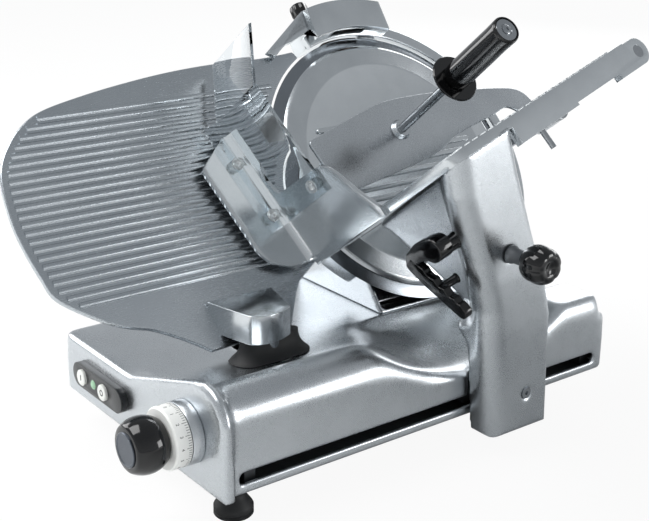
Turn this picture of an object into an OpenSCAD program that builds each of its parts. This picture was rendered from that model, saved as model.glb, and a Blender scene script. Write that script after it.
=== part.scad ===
// Electric gravity feed slicer with a tilted round blade, built from separate pieces.
// The origin is the middle of the footprint on the table. +X is the operator's right,
// +Y points away from the operator and +Z is up.

/* [Blade] */
// Diameter of the round blade
blade_d = 330; // [320:1:340]
// Thickness of the blade at its hub
blade_t = 5; // [4:0.5:6]
// Width of the ground bevel at the rim
bevel_w = 13; // [8:1:16]
// Radial width of the guard ring
ring_w = 15; // [10:1:20]
// Thickness of the guard ring
ring_t = 9; // [6:1:12]
// Radial gap between the blade and the guard ring
ring_gap = 3; // [2:0.5:5]
// Thickness of the blade cover
cover_t = 4.5; // [4:0.5:5]

/* [Layout] */
// Lean of the blade plane from upright, in degrees
lean = 37; // [34:0.5:40]
// Second tilt of the table towards its fence, in degrees
side_tilt = 16.5; // [14:0.5:18]
// Blade centre, measured across from the middle of the machine
blade_x = -83; // [-88:1:-78]
// Blade centre, measured back from the middle of the machine
blade_y = 142; // [136:1:148]
// Height of the blade centre
blade_z = 241; // [238:1:246]

/* [Base] */
// Width of the base casting
base_w = 307; // [297:1:317]
// Depth of the base casting
base_d = 514; // [500:1:530]
// Clear height under the base
foot_h = 39; // [34:1:44]
// Height of the low deck
deck_h = 103; // [100:1:106]
// Height of the housing over the carriage rail
hump_h = 137; // [134:1:139]
// Wall of the base casting
base_wall = 6; // [4:0.5:8]
// Diameter of a rubber foot
foot_d = 38; // [30:1:44]
// How far the front lip stands out past the side
lip_out = 9; // [6:1:12]
// Thickness of the front lip
lip_t = 12; // [8:1:16]

/* [Carriage rail] */
// Diameter of the round guide bar
bar_d = 16; // [14:1:17]
// Height of the slot in the side of the base
slot_h = 11; // [10:0.5:12]
// Height of the slot's lower edge above the base's lower edge
slot_rise = 10; // [9:0.5:11]
// Travel of the carriage towards the operator
travel_front = 250; // [150:1:255]
// Travel of the carriage away from the operator
travel_rear = 95; // [40:1:98]

/* [Table] */
// Length of the table along the carriage's travel
table_l = 289; // [280:1:292]
// Width of the table across the blade
table_w = 265; // [255:1:272]
// Depth of the table's rim
rim_h = 10; // [8:1:12]
// Thickness of the table's floor
floor_t = 5; // [4:0.5:6]
// Distance from one table rib to the next
rib_pitch = 12.4; // [9:0.1:16]
// Height of a rib
rib_h = 1.6; // [1:0.2:2.4]
// Depth of the skirt along the table's outer side
skirt_h = 18; // [14:1:24]
// Table's near edge, measured towards the operator from the blade centre
table_near = 187; // [182:1:190]
// Table's top, measured below the blade centre
table_low = 37; // [33:1:40]
// Gap from the table's inner side to the blade plane
blade_gap = 8; // [8:0.5:10]

/* [Fence] */
// Height of the fence
fence_h = 70; // [60:1:80]
// Height of the fence's tall leg beside the blade
leg_h = 158; // [145:1:165]
// Length of the fence across the blade
fence_l = 142; // [130:1:155]
// Thickness of the fence's sheet
sheet_t = 4; // [3:0.5:5]
// Width of the flange that shields the blade
flange_w = 57; // [50:1:60]
// Thickness of the clear hand guard
guard_t = 4; // [3:0.5:5]

/* [Gauge plate] */
// Reach of the gauge plate from the blade centre towards the operator
gauge_reach = 473; // [460:1:480]
// Thickness of the gauge plate
gauge_t = 7; // [5:0.5:9]
// Distance from one gauge rib to the next
gauge_pitch = 8.95; // [8:0.05:9]
// Number of gauge ribs
gauge_ribs = 23; // [15:1:23]
// Greatest slice thickness
slice_max = 16; // [10:1:17]

/* [Controls] */
// Diameter of the thickness knob
knob_d = 54; // [48:1:58]
// Length of the thickness knob
knob_l = 36; // [32:1:40]
// Diameter of the numbered dial
dial_d = 60; // [56:1:64]
// Diameter of the lock knob on the arm
lock_d = 37; // [33:1:41]
// Length of the switch plate
switch_l = 104; // [96:1:110]
// Height of the switch plate
switch_h = 26; // [22:1:30]
// Diameter of a push button
button_d = 17; // [14:1:18]
// Travel of a push button
button_travel = 3; // [2:0.5:4]

/* [Pusher] */
// Diameter of the pusher's slide rod
rod_d = 14; // [12:1:16]
// Diameter of the pusher's handle
grip_d = 29; // [26:1:32]
// Length of the pusher's handle
grip_l = 84; // [70:1:95]
// Diameter of the hand shield
shield_d = 51; // [44:1:56]
// Distance from the blade plane to the pusher at rest
pusher_at = 100; // [90:1:105]

/* [Hidden] */
$fn = 96;

// Angles
quarter = 90;
half_turn = 180;
full_turn = 360;

// Small allowances
weld = 1;
cut = 2;
fit = 0.05;
press = 0.03;
clear = 0.5;
air = 3;

// Blade and what turns with it
blade_r = blade_d / 2;
hub_hole_r = 40;
edge_land = 0.8;
flange_t = 6;
flange_r = 48;
shaft_r = 17.5;
shaft_bore_r = 9;
tie_r = 8;
tie_flange_r = 16;
tie_flange_t = 1;
cover_r = blade_r - 11.5;
cover_lift = 0.8;
cover_rib_h = 1;
cover_rib_w = 4;
cover_ribs = 9;
cover_rib_pitch = 13;
cover_rib_r = 125;
pulley_r = 62;
pulley_w = 20;
pulley_lip = 3;
pulley_lip_w = 2;
spigot_drop = 0.5;
flange_back = -blade_t - flange_t;
pulley_back = flange_back - pulley_w;

// Head that carries the blade
head_r = 104;
head_half = 98;
head_wall = 6;
head_front = -ring_t;
floor_front = pulley_back - air;
floor_back = floor_front - head_wall;
boss_r = 36;
bearing_r = 31;
bearing_w = 11;
boss_lip = 2;
boss_l = 32;
boss_back = floor_back - boss_l;
bearing_lip_r = 22;
shaft_end = boss_back + head_wall;
motor_drop = 108;
motor_r = 38;
motor_l = 78;
motor_cap_l = 10;
motor_flange_r = 44;
motor_flange_t = 5;
motor_shaft_r = 7;
motor_pulley_r = 20;
belt_t = 3;
belt_w = 12;
belt_gap = 0.4;
belt_slope = asin((pulley_r - motor_pulley_r) / motor_drop);
arm_w = 24;
arm_t = 6;
arm_root = 92;
ring_in_r = blade_r + ring_gap;
ring_out_r = ring_in_r + ring_w;
ring_from = -42;
ring_to = 110;
ring_arm_angles = [-30, 24, 78];
cover_knob_r = 20;
cover_knob_l = 18;

// Points of the blade plane seen from the front of the machine
function flat_x(s, g) = blade_x + s * cos(lean) - g * sin(lean);
function flat_z(s, g) = blade_z + s * sin(lean) + g * cos(lean);
function flat_pt(s, g) = [flat_x(s, g), flat_z(s, g)];
function deck_g(s) = (deck_h - blade_z - s * sin(lean)) / cos(lean);

// Base casting
base_left = -base_w / 2 - 1.5;
base_right = base_left + base_w;
base_front = -base_d / 2 - 2;
base_rear = base_front + base_d;
corner_r = 16;
shoulder_r = 30;
hump_start = 64;
shoulder_x = base_right - shoulder_r;
shoulder_z = hump_h - shoulder_r;
rear_hump_from = 129;
rear_hump_h = 127;
saddle_r = 211;
saddle_y = 60;
saddle_low = 90;
saddle_from = 20;
hollow_back = 130;
recess_from = 42;
recess_depth = 4;
front_slope_x = -15;
slot_margin = 22;
slot_z = foot_h + slot_rise;
hump_wall = base_wall + 1;
head_hole_l = 164;
head_hole_w = 130;
head_hole_out = 10;
post_hole_w = 30;
post_hole_l = 66;
plate_t = 3;
boss_screw_r = 3;

// Front face points of the base, as shares of the front panel's height
function tangent_a(r, x0) = asin(r / norm([shoulder_x - x0, shoulder_z - deck_h]))
    + atan2(shoulder_z - deck_h, shoulder_x - x0);
function tangent_l(r, x0) = sqrt(pow(norm([shoulder_x - x0, shoulder_z - deck_h]), 2) - r * r);

// Feet
foot_places_share = [[0.381, -0.432], [-0.364, -0.36], [-0.364, 0.418], [0.205, 0.418]];
foot_neck_r = 11;
foot_neck_h = 16;
foot_collar_r = 15;
foot_collar_h = 5;
foot_pad_h = 12;

// Carriage rail
bar_r = bar_d / 2;
bar_in = 27;
bar_x = base_right - bar_in;
bar_z = slot_z + slot_h;
bar_end = 17;
bar_front = 35;
block_w = 28;
block_l = 12;
slider_l = 74;
slider_w = 28;
slider_h = 28;
slider_at = 85;
bush_t = 3;
bush_l = 18;
tongue_l = 54;
tongue_play = 1;
tongue_t = slot_h - 2 * tongue_play;
strip_w = 8;
strip_h = 8;
strip_in = 42;
strip_x = bar_x - strip_in;
roller_r = 9.5;
roller_w = 10;
roller_pin_r = 4;
roller_z = bar_z + 4;
roller_play = 0.5;

// Column that carries the table
arm_out = 37;
arm_gap = 4;
arm_in_x = base_right + arm_gap;
arm_out_x = base_right + arm_out;
arm_low = 22;
arm_top = 362;
arm_round = shoulder_r + 4;
arm_height = 322;
arm_y = 85;
arm_side_share = [
    [-0.131, 0.006], [-0.163, 0.339], [-0.171, 0.435], [-0.225, 0.609], [-0.304, 0.817], [-0.352, 1.05],
    [-0.12, 1.05], [-0.068, 0.873], [0.02, 0.63], [0.073, 0.506], [0.105, 0.391], [0.12, 0.006]
];
wing_share = [
    [0.04, 0.6], [0.134, 0.59], [0.193, 0.562], [0.252, 0.534], [0.32, 0.5], [0.382, 0.466],
    [0.429, 0.444], [0.452, 0.42]
];
arm_screw_y = 89;
arm_screw_z = 65;
carrier_lug_w = 18;
carrier_lug_l = 46;
carrier_lug_h = 28;
carrier_lug_z = 48;
arm_screw_r = 6;
arm_screw_head = 5;
arm_shank_r = 4;

// Lock knob on the column
lock_y = 53.5;
lock_z = 222.5;
lock_stem_r = 6;
lock_stem_l = 24;
lock_bite = 20;
lock_r = lock_d / 2;
lock_l = 28;
lobe_r = 7;
lobes = 6;

// Pull handle
handle_y = 29.9;
handle_z = 162;
handle_lean = 17.1;
handle_t = 18;
handle_off = 12;
handle_size = 100;
handle_share = [
    [1.198, 0.679], [1.324, 0.822], [1.612, 0.955], [1.738, 0.898], [1.765, 0.774], [1.612, 0.641],
    [1.477, 0.67], [1.369, 0.594], [1.351, 0.499], [1.45, 0.423], [1.594, 0.394], [1.756, 0.376],
    [1.882, 0.337], [1.909, 0.252], [1.81, 0.129], [1.693, 0.119], [1.351, 0.214], [1.162, 0.347], [1.117, 0.499]
];
handle_leg_r = 8;
handle_leg_a = [1.61, 0.8];
handle_leg_b = [1.5, 0.3];

// Table, in its own tilted frame
table_far = table_near - table_l;
table_out = blade_gap + table_w;
table_under = table_low + floor_t;
rim_under = table_low + rim_h;
rim_t = 7;
rib_w = 4;
rib_margin = 8;
table_corner = 20;
skirt_t = 9;
skirt_from = 82;
skirt_to = 277;
skirt_step = 3;
lug_t = 10;
lug_r = 15;
rod_t = 118;
rod_down = 53;
rod_r = rod_d / 2;
stud_r = 3;
stud_l = 20;
stud_t = 118;
hook_t = 82;
hook_w = 24;
hook_h = 16;
hook_thick = 6;

// Fence, heights counted from the table's top
fence_foot = 10;
fence_step = 5;
fence_share = [[0.84, 0], [0.89, 0.033], [0.79, 0.413], [0.72, 0.72], [0.6, 1]];
leg_in = 19;
leg_top = 5;
flange_share = [[0, -0.03], [0.56, 0.025], [0.9, 0.12], [1, 0.222], [1, 0.873], [0.84, 0.905], [0.32, 0.987], [0, 1]];

// Clear hand guard
guard_low = 45;
guard_bend = 175;
guard_high = 234;
guard_lean_t = 41;
guard_in = 4;
guard_out = 89;
guard_flap = 24;
guard_screw_r = 7;
guard_screw_h = 4;
guard_shank_r = 3;
screw_flap_t = 13;
screw_low = 60;
screw_high = 126;
screw_wall_s = 78;
screw_wall_h = 58;

// Pusher
sleeve_r = rod_r + 3.5;
sleeve_l = 42;
hub_r = sleeve_r + 3.5;
hub_l = 26;
plate_sheet = 4;
pusher_span = 300;
pusher_share = [
    [-0.6, -0.017], [-0.6, 0.183], [-0.587, 0.2], [-0.297, 0.197], [-0.173, 0.183], [-0.003, 0.137], [0.33, 0.013],
    [0.407, -0.03], [0.438, -0.09], [0.438, -0.177], [0.353, -0.16], [0.353, -0.113], [0.303, -0.063],
    [0.213, -0.06], [0.003, -0.05], [-0.14, -0.067], [-0.4, -0.04]
];
spike_l = 8;
spike_r = 2.5;
spike_tip_r = 0.5;
spikes = 5;
spike_pitch = 25;
spike_t = -112;
spike_d = -4;
pusher_shaft_r = 5;
pusher_shaft_t = -66;
pusher_shaft_d = 22;
pusher_foot_r = 10;
pusher_foot_t = 5;
pusher_lean = 3;
shield_at = 103;
shield_t = 5;
grip_r = grip_d / 2;
cap_l = 6;
cap_r = 13;
cap_screw_r = 5;
cap_screw_h = 1.5;

// Gauge plate, in the blade's frame
gauge_top = -2;
gauge_rib_h = 1.5;
gauge_rib_w = 3;
gauge_rib_first = 117.3;
gauge_hole_r = ring_in_r;
gauge_rib_scale = 0.965;
gauge_mid = [-0.64, 0];
gauge_share = [
    [-0.1775, 0.33], [-0.2748, 0.3235], [-0.4165, 0.3235], [-0.5328, 0.3171], [-0.6448, 0.3044], [-0.7526, 0.2875],
    [-0.8584, 0.2643], [-0.9154, 0.2347], [-0.9556, 0.1966], [-0.9831, 0.1564], [-0.9958, 0.1121], [-1, 0.0338],
    [-0.9937, -0.0275], [-0.9789, -0.0951], [-0.9598, -0.148], [-0.8837, -0.2093], [-0.8309, -0.2368],
    [-0.7822, -0.2537], [-0.7336, -0.2812], [-0.6934, -0.3087], [-0.666, -0.3298], [-0.4609, -0.3235],
    [-0.4165, -0.2516], [-0.3975, -0.2283], [-0.3658, -0.2093], [-0.25, -0.2], [-0.16, 0.1]
];

// Support under the gauge plate
support_l = 87;
support_y = -270.5;
support_s = 47;
support_top = 157;
support_reach = 80;
support_low = 126;
support_round = 22;
post_r = 11;
post_x = 26;
post_y = support_y + blade_y + 11;
post_low = 62;
bellows_l = 92;
bellows_w = 40;
bellows_folds = 5;
bellows_step = 3;
skirt_gap = 0.5;
carrier_w = 36;
carrier_l = 44;
carrier_h = 30;
gauge_bar_r = 9;
gauge_bar_z = 66;
gauge_bar_l = 100;
gauge_block_t = 12;
gauge_block_w = 30;
gauge_travel = slice_max / cos(lean);

// Thickness knob and its pinion
knob_x = 100;
knob_z = 90;
knob_r = knob_d / 2;
dial_r = dial_d / 2;
collar_r = 30.5;
collar_l = 12;
dial_l = 16.5;
dial_gap = 0.5;
knob_shaft_r = 6;
knob_bite = 14;
cap_disc_r = 16.5;
cap_disc_t = 1.5;
pinion_y = base_front + 19;
pinion_l = 8;
shaft_step = 1;
dial_turn = 330;
pinion_teeth = 7;
// Radius that moves the gauge through its travel in one turn of the dial's scale
pinion_r = gauge_travel * half_turn / (PI * dial_turn);
tooth_pitch = 2 * PI * pinion_r / pinion_teeth;
// Half width and distance from the pinion's middle, as shares of the pinion's radius
pinion_tooth_share = [[-0.2013, 0.69], [-0.0862, 1.236], [0.0862, 1.236], [0.2013, 0.69]];
rack_root_share = 1.322;
rack_tooth_share = [[-0.273, 1.6], [-0.273, 1.322], [-0.086, 0.776], [0.086, 0.776], [0.273, 1.322], [0.273, 1.6]];
rack_first = -2;
rack_last = 7;
rack_lead = 5;
rack_h = 10;
rack_arm_w = 12;
rack_z = knob_z - rack_root_share * pinion_r - rack_h;

// Switch plate on the front
switch_x = -65;
switch_z = 73;
switch_t = 8;
button_r = button_d / 2;
button_proud = 3;
button_play = 0.3;
start_dx = -30;
stop_dx = 15;
lamp_dx = -7;
lamp_r = 5;
lamp_h = 2;
board_l = 96;
board_h = 38;
board_t = 18;

// Sharpener over the blade
sharp_in_r = ring_in_r + 4;
sharp_h = 36;
sharp_out_r = sharp_in_r + sharp_h;
sharp_back = -40;
sharp_front = 14;
sharp_left = -54;
sharp_right = 54;
sharp_wall = 6;
apron_front = 6;
apron_share = [[-0.758, 0.94], [-0.279, 1.248], [-0.279, 1.1], [-0.52, 1.0]];
stone_r = 9;
stone_t = 8;
stone_pin_r = 3;
stone_dy = 14;
stone_g = ring_out_r + 8;
stone_gap = 6;
sharp_knob_r = 11;
sharp_knob_l = 16;
sharp_knob_dy = -36;
sharp_knob_s = -22;
sharp_pin_l = 20;
sharp_pin_r = 5;

// Slice deflector beside the blade
deflector_r = 148;
deflector_t = 2.5;
deflector_from = 150;
deflector_to = 229;
deflector_back = -44;
deflector_front = -12;

// Frames

// The blade's frame: x is +Y, y runs up the blade's face and z is the blade's axis
module blade_frame() {
    translate([blade_x, blade_y, blade_z])
        rotate([0, -lean, 0])
            rotate([quarter, 0, quarter])
                children();
}

// The table's frame: x runs along the table, y is its upward normal and z is the blade's axis
module table_frame() {
    blade_frame()
        rotate([0, 0, side_tilt])
            children();
}

// A profile drawn in X and Z, pushed along +Y from y0
module along_y(y0, l) {
    translate([0, y0 + l, 0])
        rotate([quarter, 0, 0])
            linear_extrude(l)
                children();
}

// A profile drawn in Y and Z, pushed along +X from x0
module along_x(x0, l) {
    translate([x0, 0, 0])
        rotate([quarter, 0, quarter])
            linear_extrude(l)
                children();
}

// A rod along +Y from y0
module rod_y(x, y0, z, r, l) {
    translate([x, y0 + l, z])
        rotate([quarter, 0, 0])
            cylinder(r = r, h = l);
}

// A rod along +X from x0
module rod_x(x0, y, z, r, l) {
    translate([x0, y, z])
        rotate([0, quarter, 0])
            cylinder(r = r, h = l);
}

// A flat ring
module ring(r_out, r_in, h) {
    difference() {
        cylinder(r = r_out, h = h);
        translate([0, 0, -cut])
            cylinder(r = r_in, h = h + 2 * cut);
    }
}

// A rectangle with round corners, centred
module round_rect(w, d, r) {
    square([w - 2 * r, d], center = true);
    square([w, d - 2 * r], center = true);
    for (sx = [-1, 1], sy = [-1, 1])
        translate([sx * (w / 2 - r), sy * (d / 2 - r)])
            circle(r = r);
}

// A pie slice that reaches r, from angle a0 to a1
module pie(r, a0, a1) {
    steps = ceil((a1 - a0) / 30);
    polygon(concat([[0, 0]], [for (i = [0:steps]) let (a = a0 + (a1 - a0) * i / steps)
        [r * 2 * cos(a), r * 2 * sin(a)]]));
}

// Base

// Section of the rail housing, drawn in X and Z
module hump_section(r, x0, floor_z) {
    a = tangent_a(r, x0);
    l = tangent_l(r, x0);
    polygon([[x0, floor_z], [x0, deck_h], [x0 + l * cos(a), deck_h + l * sin(a)], [shoulder_x, shoulder_z],
        [shoulder_x + r, shoulder_z], [shoulder_x + r, floor_z]]);
    intersection() {
        translate([shoulder_x, shoulder_z])
            circle(r = r);
        translate([x0, deck_h - r])
            square([shoulder_x + r - x0, hump_h]);
    }
}

// Section of the front panel, drawn in X and Z
module panel_section() {
    hump_section(shoulder_r + lip_out, front_slope_x, foot_h);
    translate([base_left, foot_h])
        square([base_w / 2, deck_h - foot_h]);
}

module base_casting() {
    color("#c6c9cc") difference() {
        union() {
            translate([base_left + base_w / 2, base_front + base_d / 2, foot_h])
                linear_extrude(deck_h - foot_h)
                    round_rect(base_w, base_d, corner_r);
            along_y(base_front + weld, rear_hump_from - base_front)
                hump_section(shoulder_r, hump_start, deck_h - corner_r);
            intersection() {
                along_y(rear_hump_from, base_rear - corner_r - rear_hump_from)
                    hump_section(shoulder_r, hump_start, deck_h - corner_r);
                translate([hump_start, rear_hump_from, 0])
                    cube([base_w, base_d, rear_hump_h]);
            }
            along_y(base_front, lip_t)
                panel_section();
        }
        // Main hollow, open at the bottom
        translate([base_left + base_wall, base_front + base_wall, foot_h - cut])
            cube([base_w - 2 * base_wall, base_d - 2 * base_wall, saddle_low - base_wall - foot_h + cut]);
        // Higher hollow in front and on the left, clear of the saddle
        translate([base_left + base_wall, base_front + base_wall, foot_h])
            cube([base_w - 2 * base_wall, saddle_y - hollow_back - base_front, deck_h - base_wall - foot_h]);
        translate([base_left + base_wall, base_front + base_wall, foot_h])
            cube([saddle_from - 2 * base_wall - base_left, base_d - 2 * base_wall, deck_h - base_wall - foot_h]);
        // Hollow under the rail housing
        along_y(base_front + lip_t, saddle_y - hollow_back - base_front - lip_t)
            hump_section(shoulder_r - base_wall, hump_start + corner_r, deck_h - corner_r);
        // Saddle between the two parts of the rail housing
        translate([saddle_from, saddle_y, saddle_low + saddle_r])
            rotate([0, quarter, 0])
                cylinder(r = saddle_r, h = base_w);
        // Shallow recess beside the column
        translate([base_right - recess_depth, recess_from, slot_z])
            cube([lip_out, rear_hump_from - recess_from, hump_h]);
        // Slot in the side
        translate([base_right - base_wall - cut, base_front + slot_margin, slot_z])
            cube([lip_out, base_d - 2 * slot_margin, slot_h]);
        // Opening under the head
        translate([flat_x(floor_back, deck_g(floor_back)) + head_hole_out - head_hole_w, blade_y - head_hole_l / 2,
            deck_h - base_wall - cut])
            cube([head_hole_w, head_hole_l, base_wall + 2 * cut]);
        // Opening for the gauge's post
        translate([post_x + post_hole_w / 2 - post_hole_l, post_y - post_hole_w / 2, deck_h - base_wall - cut])
            cube([post_hole_l, post_hole_w, base_wall + hump_h]);
        // Knob shaft and push buttons
        rod_y(knob_x, base_front - cut, knob_z, knob_shaft_r + clear, lip_t + 2 * cut);
    }
}

module bottom_plate() {
    color("#8f9396")
        translate([base_left + base_wall, base_front + base_wall, foot_h])
            cube([base_w - 2 * base_wall, base_d - 2 * base_wall, plate_t]);
}

module feet() {
    color("#1b1c1e")
        for (p = foot_places_share)
            translate([p[0] * base_w, p[1] * base_d, 0]) {
                cylinder(r = foot_d / 2, h = foot_pad_h);
                translate([0, 0, foot_pad_h])
                    cylinder(r1 = foot_d / 2, r2 = foot_neck_r, h = foot_h - foot_pad_h - foot_collar_h - foot_neck_h
                        + foot_collar_h);
                translate([0, 0, foot_h - foot_neck_h])
                    cylinder(r = foot_neck_r, h = foot_neck_h);
                translate([0, 0, foot_h - foot_collar_h])
                    cylinder(r = foot_collar_r, h = foot_collar_h);
            }
}

// Controls

module stadium(l, h) {
    square([l - h, h], center = true);
    for (s = [-1, 1])
        translate([s * (l - h) / 2, 0])
            circle(r = h / 2);
}

module switch_plate() {
    color("#202124") difference() {
        translate([switch_x, base_front, switch_z])
            rotate([quarter, 0, 0])
                linear_extrude(switch_t)
                    stadium(switch_l, switch_h);
        for (dx = [start_dx, stop_dx])
            rod_y(switch_x + dx, base_front - switch_t - cut, switch_z, button_r + button_play, switch_t + 2 * cut);
    }
}

module push_button(dx, tint) {
    color(tint)
        rod_y(switch_x + dx, base_front - switch_t - button_proud, switch_z, button_r,
            switch_t + button_proud - button_travel - button_play);
}

module start_button() push_button(start_dx, "#e6e7e4");

module stop_button() push_button(stop_dx, "#d9dad8");

module indicator_lamp() {
    color("#cfe8d2")
        rod_y(switch_x + lamp_dx, base_front - switch_t - lamp_h, switch_z, lamp_r, lamp_h);
}

module control_board() {
    color("#3c6f4e")
        translate([switch_x - board_l / 2, base_front + base_wall, switch_z - board_h / 2])
            cube([board_l, board_t, board_h]);
}

module dial_collar() {
    color("#b9bcbf") difference() {
        rod_y(knob_x, base_front - collar_l, knob_z, collar_r, collar_l);
        rod_y(knob_x, base_front - collar_l - cut, knob_z, knob_shaft_r + fit, collar_l + 2 * cut);
    }
}

dial_back = base_front - collar_l - dial_gap;
dial_front = dial_back - dial_l;

module dial_ring() {
    color("#eceded") difference() {
        rod_y(knob_x, dial_front, knob_z, dial_r, dial_l);
        rod_y(knob_x, dial_front - cut, knob_z, knob_shaft_r + press, dial_l + 2 * cut);
    }
}

module thickness_knob() {
    color("#161718") difference() {
        translate([knob_x, dial_front, knob_z])
            rotate([quarter, 0, 0])
                rotate_extrude()
                    intersection() {
                        translate([0, knob_l / 2])
                            circle(r = knob_r);
                        square([knob_r + cut, knob_l - cap_disc_t]);
                    }
        rod_y(knob_x, dial_front - knob_bite, knob_z, knob_shaft_r + press, knob_bite + cut);
    }
}

module knob_cap() {
    color("#2b2d30")
        rod_y(knob_x, dial_front - knob_l, knob_z, cap_disc_r, cap_disc_t);
}

module knob_shaft() {
    points = [for (i = [0:pinion_teeth - 1], p = pinion_tooth_share) let (a = 2 * half_turn * i / pinion_teeth - quarter)
        pinion_r * [p[1] * cos(a) - p[0] * sin(a), p[1] * sin(a) + p[0] * cos(a)]];
    color("#9a9da0") {
        rod_y(knob_x, dial_front - knob_bite, knob_z, knob_shaft_r, pinion_y - shaft_step - dial_front + knob_bite);
        // Pinion cut on the shaft's end
        translate([knob_x, 0, knob_z])
            along_y(pinion_y - shaft_step - weld, pinion_l + shaft_step + weld)
                polygon(points);
    }
}

// Carriage rail

module guide_bar() {
    color("#b4b7ba")
        rod_y(bar_x, base_front + bar_front, bar_z, bar_r, base_d - bar_front - bar_end);
}

module guide_bar_blocks() {
    color("#7d8184")
        for (y = [base_front + bar_front, base_rear - bar_end - block_l])
            difference() {
                translate([bar_x - block_w / 2, y, foot_h + plate_t])
                    cube([block_w, block_l, bar_z - foot_h - plate_t + block_w / 2]);
                rod_y(bar_x, y - cut, bar_z, bar_r + press, block_l + 2 * cut);
            }
}

module roller_strip() {
    color("#85888b") {
        translate([strip_x - strip_w / 2, base_front + slot_margin + block_l, roller_z - roller_r - clear - strip_h])
            cube([strip_w, base_d - 2 * slot_margin - 2 * block_l, strip_h]);
        for (y = [base_front + slot_margin + block_l, base_rear - slot_margin - 2 * block_l])
            translate([strip_x - strip_w / 2, y, foot_h + plate_t])
                cube([strip_w, block_l, roller_z - roller_r - clear - strip_h - foot_h - plate_t]);
    }
}

module carriage_slider() {
    color("#75797c") {
        difference() {
            union() {
                translate([bar_x - slider_w / 2, slider_at - slider_l / 2, bar_z - slider_h / 2])
                    cube([slider_w, slider_l, slider_h]);
                translate([bar_x + slider_w / 2 - weld, slider_at - tongue_l / 2, slot_z + tongue_play])
                    cube([arm_in_x - bar_x - slider_w / 2 + 2 * weld, tongue_l, tongue_t]);
                translate([arm_in_x, slider_at - carrier_lug_l / 2, carrier_lug_z])
                    cube([carrier_lug_w, carrier_lug_l, carrier_lug_h]);
                rod_x(strip_x - roller_w / 2 - roller_play, slider_at, roller_z, roller_pin_r,
                    bar_x - strip_x - slider_w / 2 + roller_w / 2 + roller_play + weld);
                rod_x(strip_x + roller_w / 2 + roller_play, slider_at, roller_z, roller_pin_r + cut,
                    bar_x - strip_x - slider_w / 2 - roller_w / 2 - roller_play + weld);
            }
            rod_y(bar_x, slider_at - slider_l / 2 - cut, bar_z, bar_r + bush_t, slider_l + 2 * cut);
            rod_x(arm_in_x + air, arm_screw_y, arm_screw_z, arm_shank_r + press, arm_out);
        }
    }
}

module slider_bushes() {
    color("#b08d4a")
        for (y = [slider_at - slider_l / 2, slider_at + slider_l / 2 - bush_l])
            difference() {
                rod_y(bar_x, y, bar_z, bar_r + bush_t - press, bush_l);
                rod_y(bar_x, y - cut, bar_z, bar_r + fit, bush_l + 2 * cut);
            }
}

module carriage_roller() {
    color("#3a3c3f") difference() {
        rod_x(strip_x - roller_w / 2, slider_at, roller_z, roller_r, roller_w);
        rod_x(strip_x - roller_w / 2 - cut, slider_at, roller_z, roller_pin_r + fit, roller_w + 2 * cut);
    }
}

// Column

function arm_pt(p) = [arm_y + arm_height * p[0], arm_low + arm_height * p[1]];
function wing_pt(p) = [arm_height * p[0], arm_low + arm_height * p[1]];

module column() {
    arc = [for (a = [55:-11:0]) [shoulder_x + arm_round * cos(a), shoulder_z + arm_round * sin(a)]];
    color("#c9cccf") difference() {
        intersection() {
            along_x(0, arm_out_x)
                polygon([for (p = arm_side_share) arm_pt(p)]);
            along_y(arm_y - arm_height, 2 * arm_height)
                polygon(concat([[arm_out_x, arm_low], [arm_out_x, arm_top], [0, arm_top]],
                    [for (p = wing_share) wing_pt(p)], arc, [[arm_in_x, shoulder_z], [arm_in_x, arm_low]]));
        }
        // Cut level with the underside of the table
        table_frame()
            translate([-arm_height, -rim_under, -arm_height])
                cube([2 * arm_height, arm_height, 2 * arm_height]);
        rod_x(arm_out_x - lock_bite, lock_y, lock_z, lock_stem_r + fit, lock_bite + cut);
        rod_x(arm_out_x - arm_screw_head, arm_screw_y, arm_screw_z, arm_screw_r + press, arm_screw_head + cut);
        rod_x(arm_in_x - cut, arm_screw_y, arm_screw_z, arm_shank_r + press, arm_out);
        // Pocket for the slider's lug and tongue
        translate([arm_in_x - cut, slider_at - carrier_lug_l / 2 - press, carrier_lug_z - press])
            cube([carrier_lug_w + cut, carrier_lug_l + 2 * press, carrier_lug_h + 2 * press]);
        translate([arm_in_x - cut, slider_at - tongue_l / 2 - press, slot_z + tongue_play - press])
            cube([2 * weld + cut, tongue_l + 2 * press, tongue_t + 2 * press]);
    }
}

module column_screw() {
    color("#8a8d90") difference() {
        union() {
            rod_x(arm_out_x - arm_screw_head, arm_screw_y, arm_screw_z, arm_screw_r, arm_screw_head);
            rod_x(arm_in_x + air + clear, arm_screw_y, arm_screw_z, arm_shank_r,
                arm_out_x - arm_screw_head - arm_in_x - air - clear + weld);
        }
        rod_x(arm_out_x - arm_screw_head / 2, arm_screw_y, arm_screw_z, arm_shank_r / 2, arm_screw_head);
    }
}

module lock_knob() {
    color("#18191a") {
        rod_x(arm_out_x - lock_bite + clear, lock_y, lock_z, lock_stem_r, lock_bite + lock_stem_l);
        translate([arm_out_x + lock_stem_l, lock_y, lock_z])
            rotate([0, quarter, 0])
                difference() {
                    intersection() {
                        cylinder(r = lock_r, h = lock_l);
                        translate([0, 0, lock_l / 2])
                            sphere(r = lock_r);
                    }
                    for (i = [0:lobes - 1])
                        rotate([0, 0, full_turn * i / lobes])
                            translate([lock_r + lobe_r / 2, 0, -cut])
                                cylinder(r = lobe_r, h = lock_l + 2 * cut);
                }
    }
}

module pull_handle() {
    color("#17181a") difference() {
        translate([0, handle_y, handle_z])
            rotate([handle_lean, 0, 0])
                rotate([quarter, 0, 0]) {
                    translate([0, 0, handle_off])
                        linear_extrude(handle_t)
                            polygon([for (p = handle_share) p * handle_size]);
                    for (p = [handle_leg_a, handle_leg_b])
                        translate([p[0] * handle_size, p[1] * handle_size, 0])
                            cylinder(r = handle_leg_r, h = handle_off + weld);
                }
        // The legs end on the column's front
        along_x(0, arm_out_x)
            polygon([for (p = arm_side_share) arm_pt(p)]);
    }
}

// Table

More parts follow.
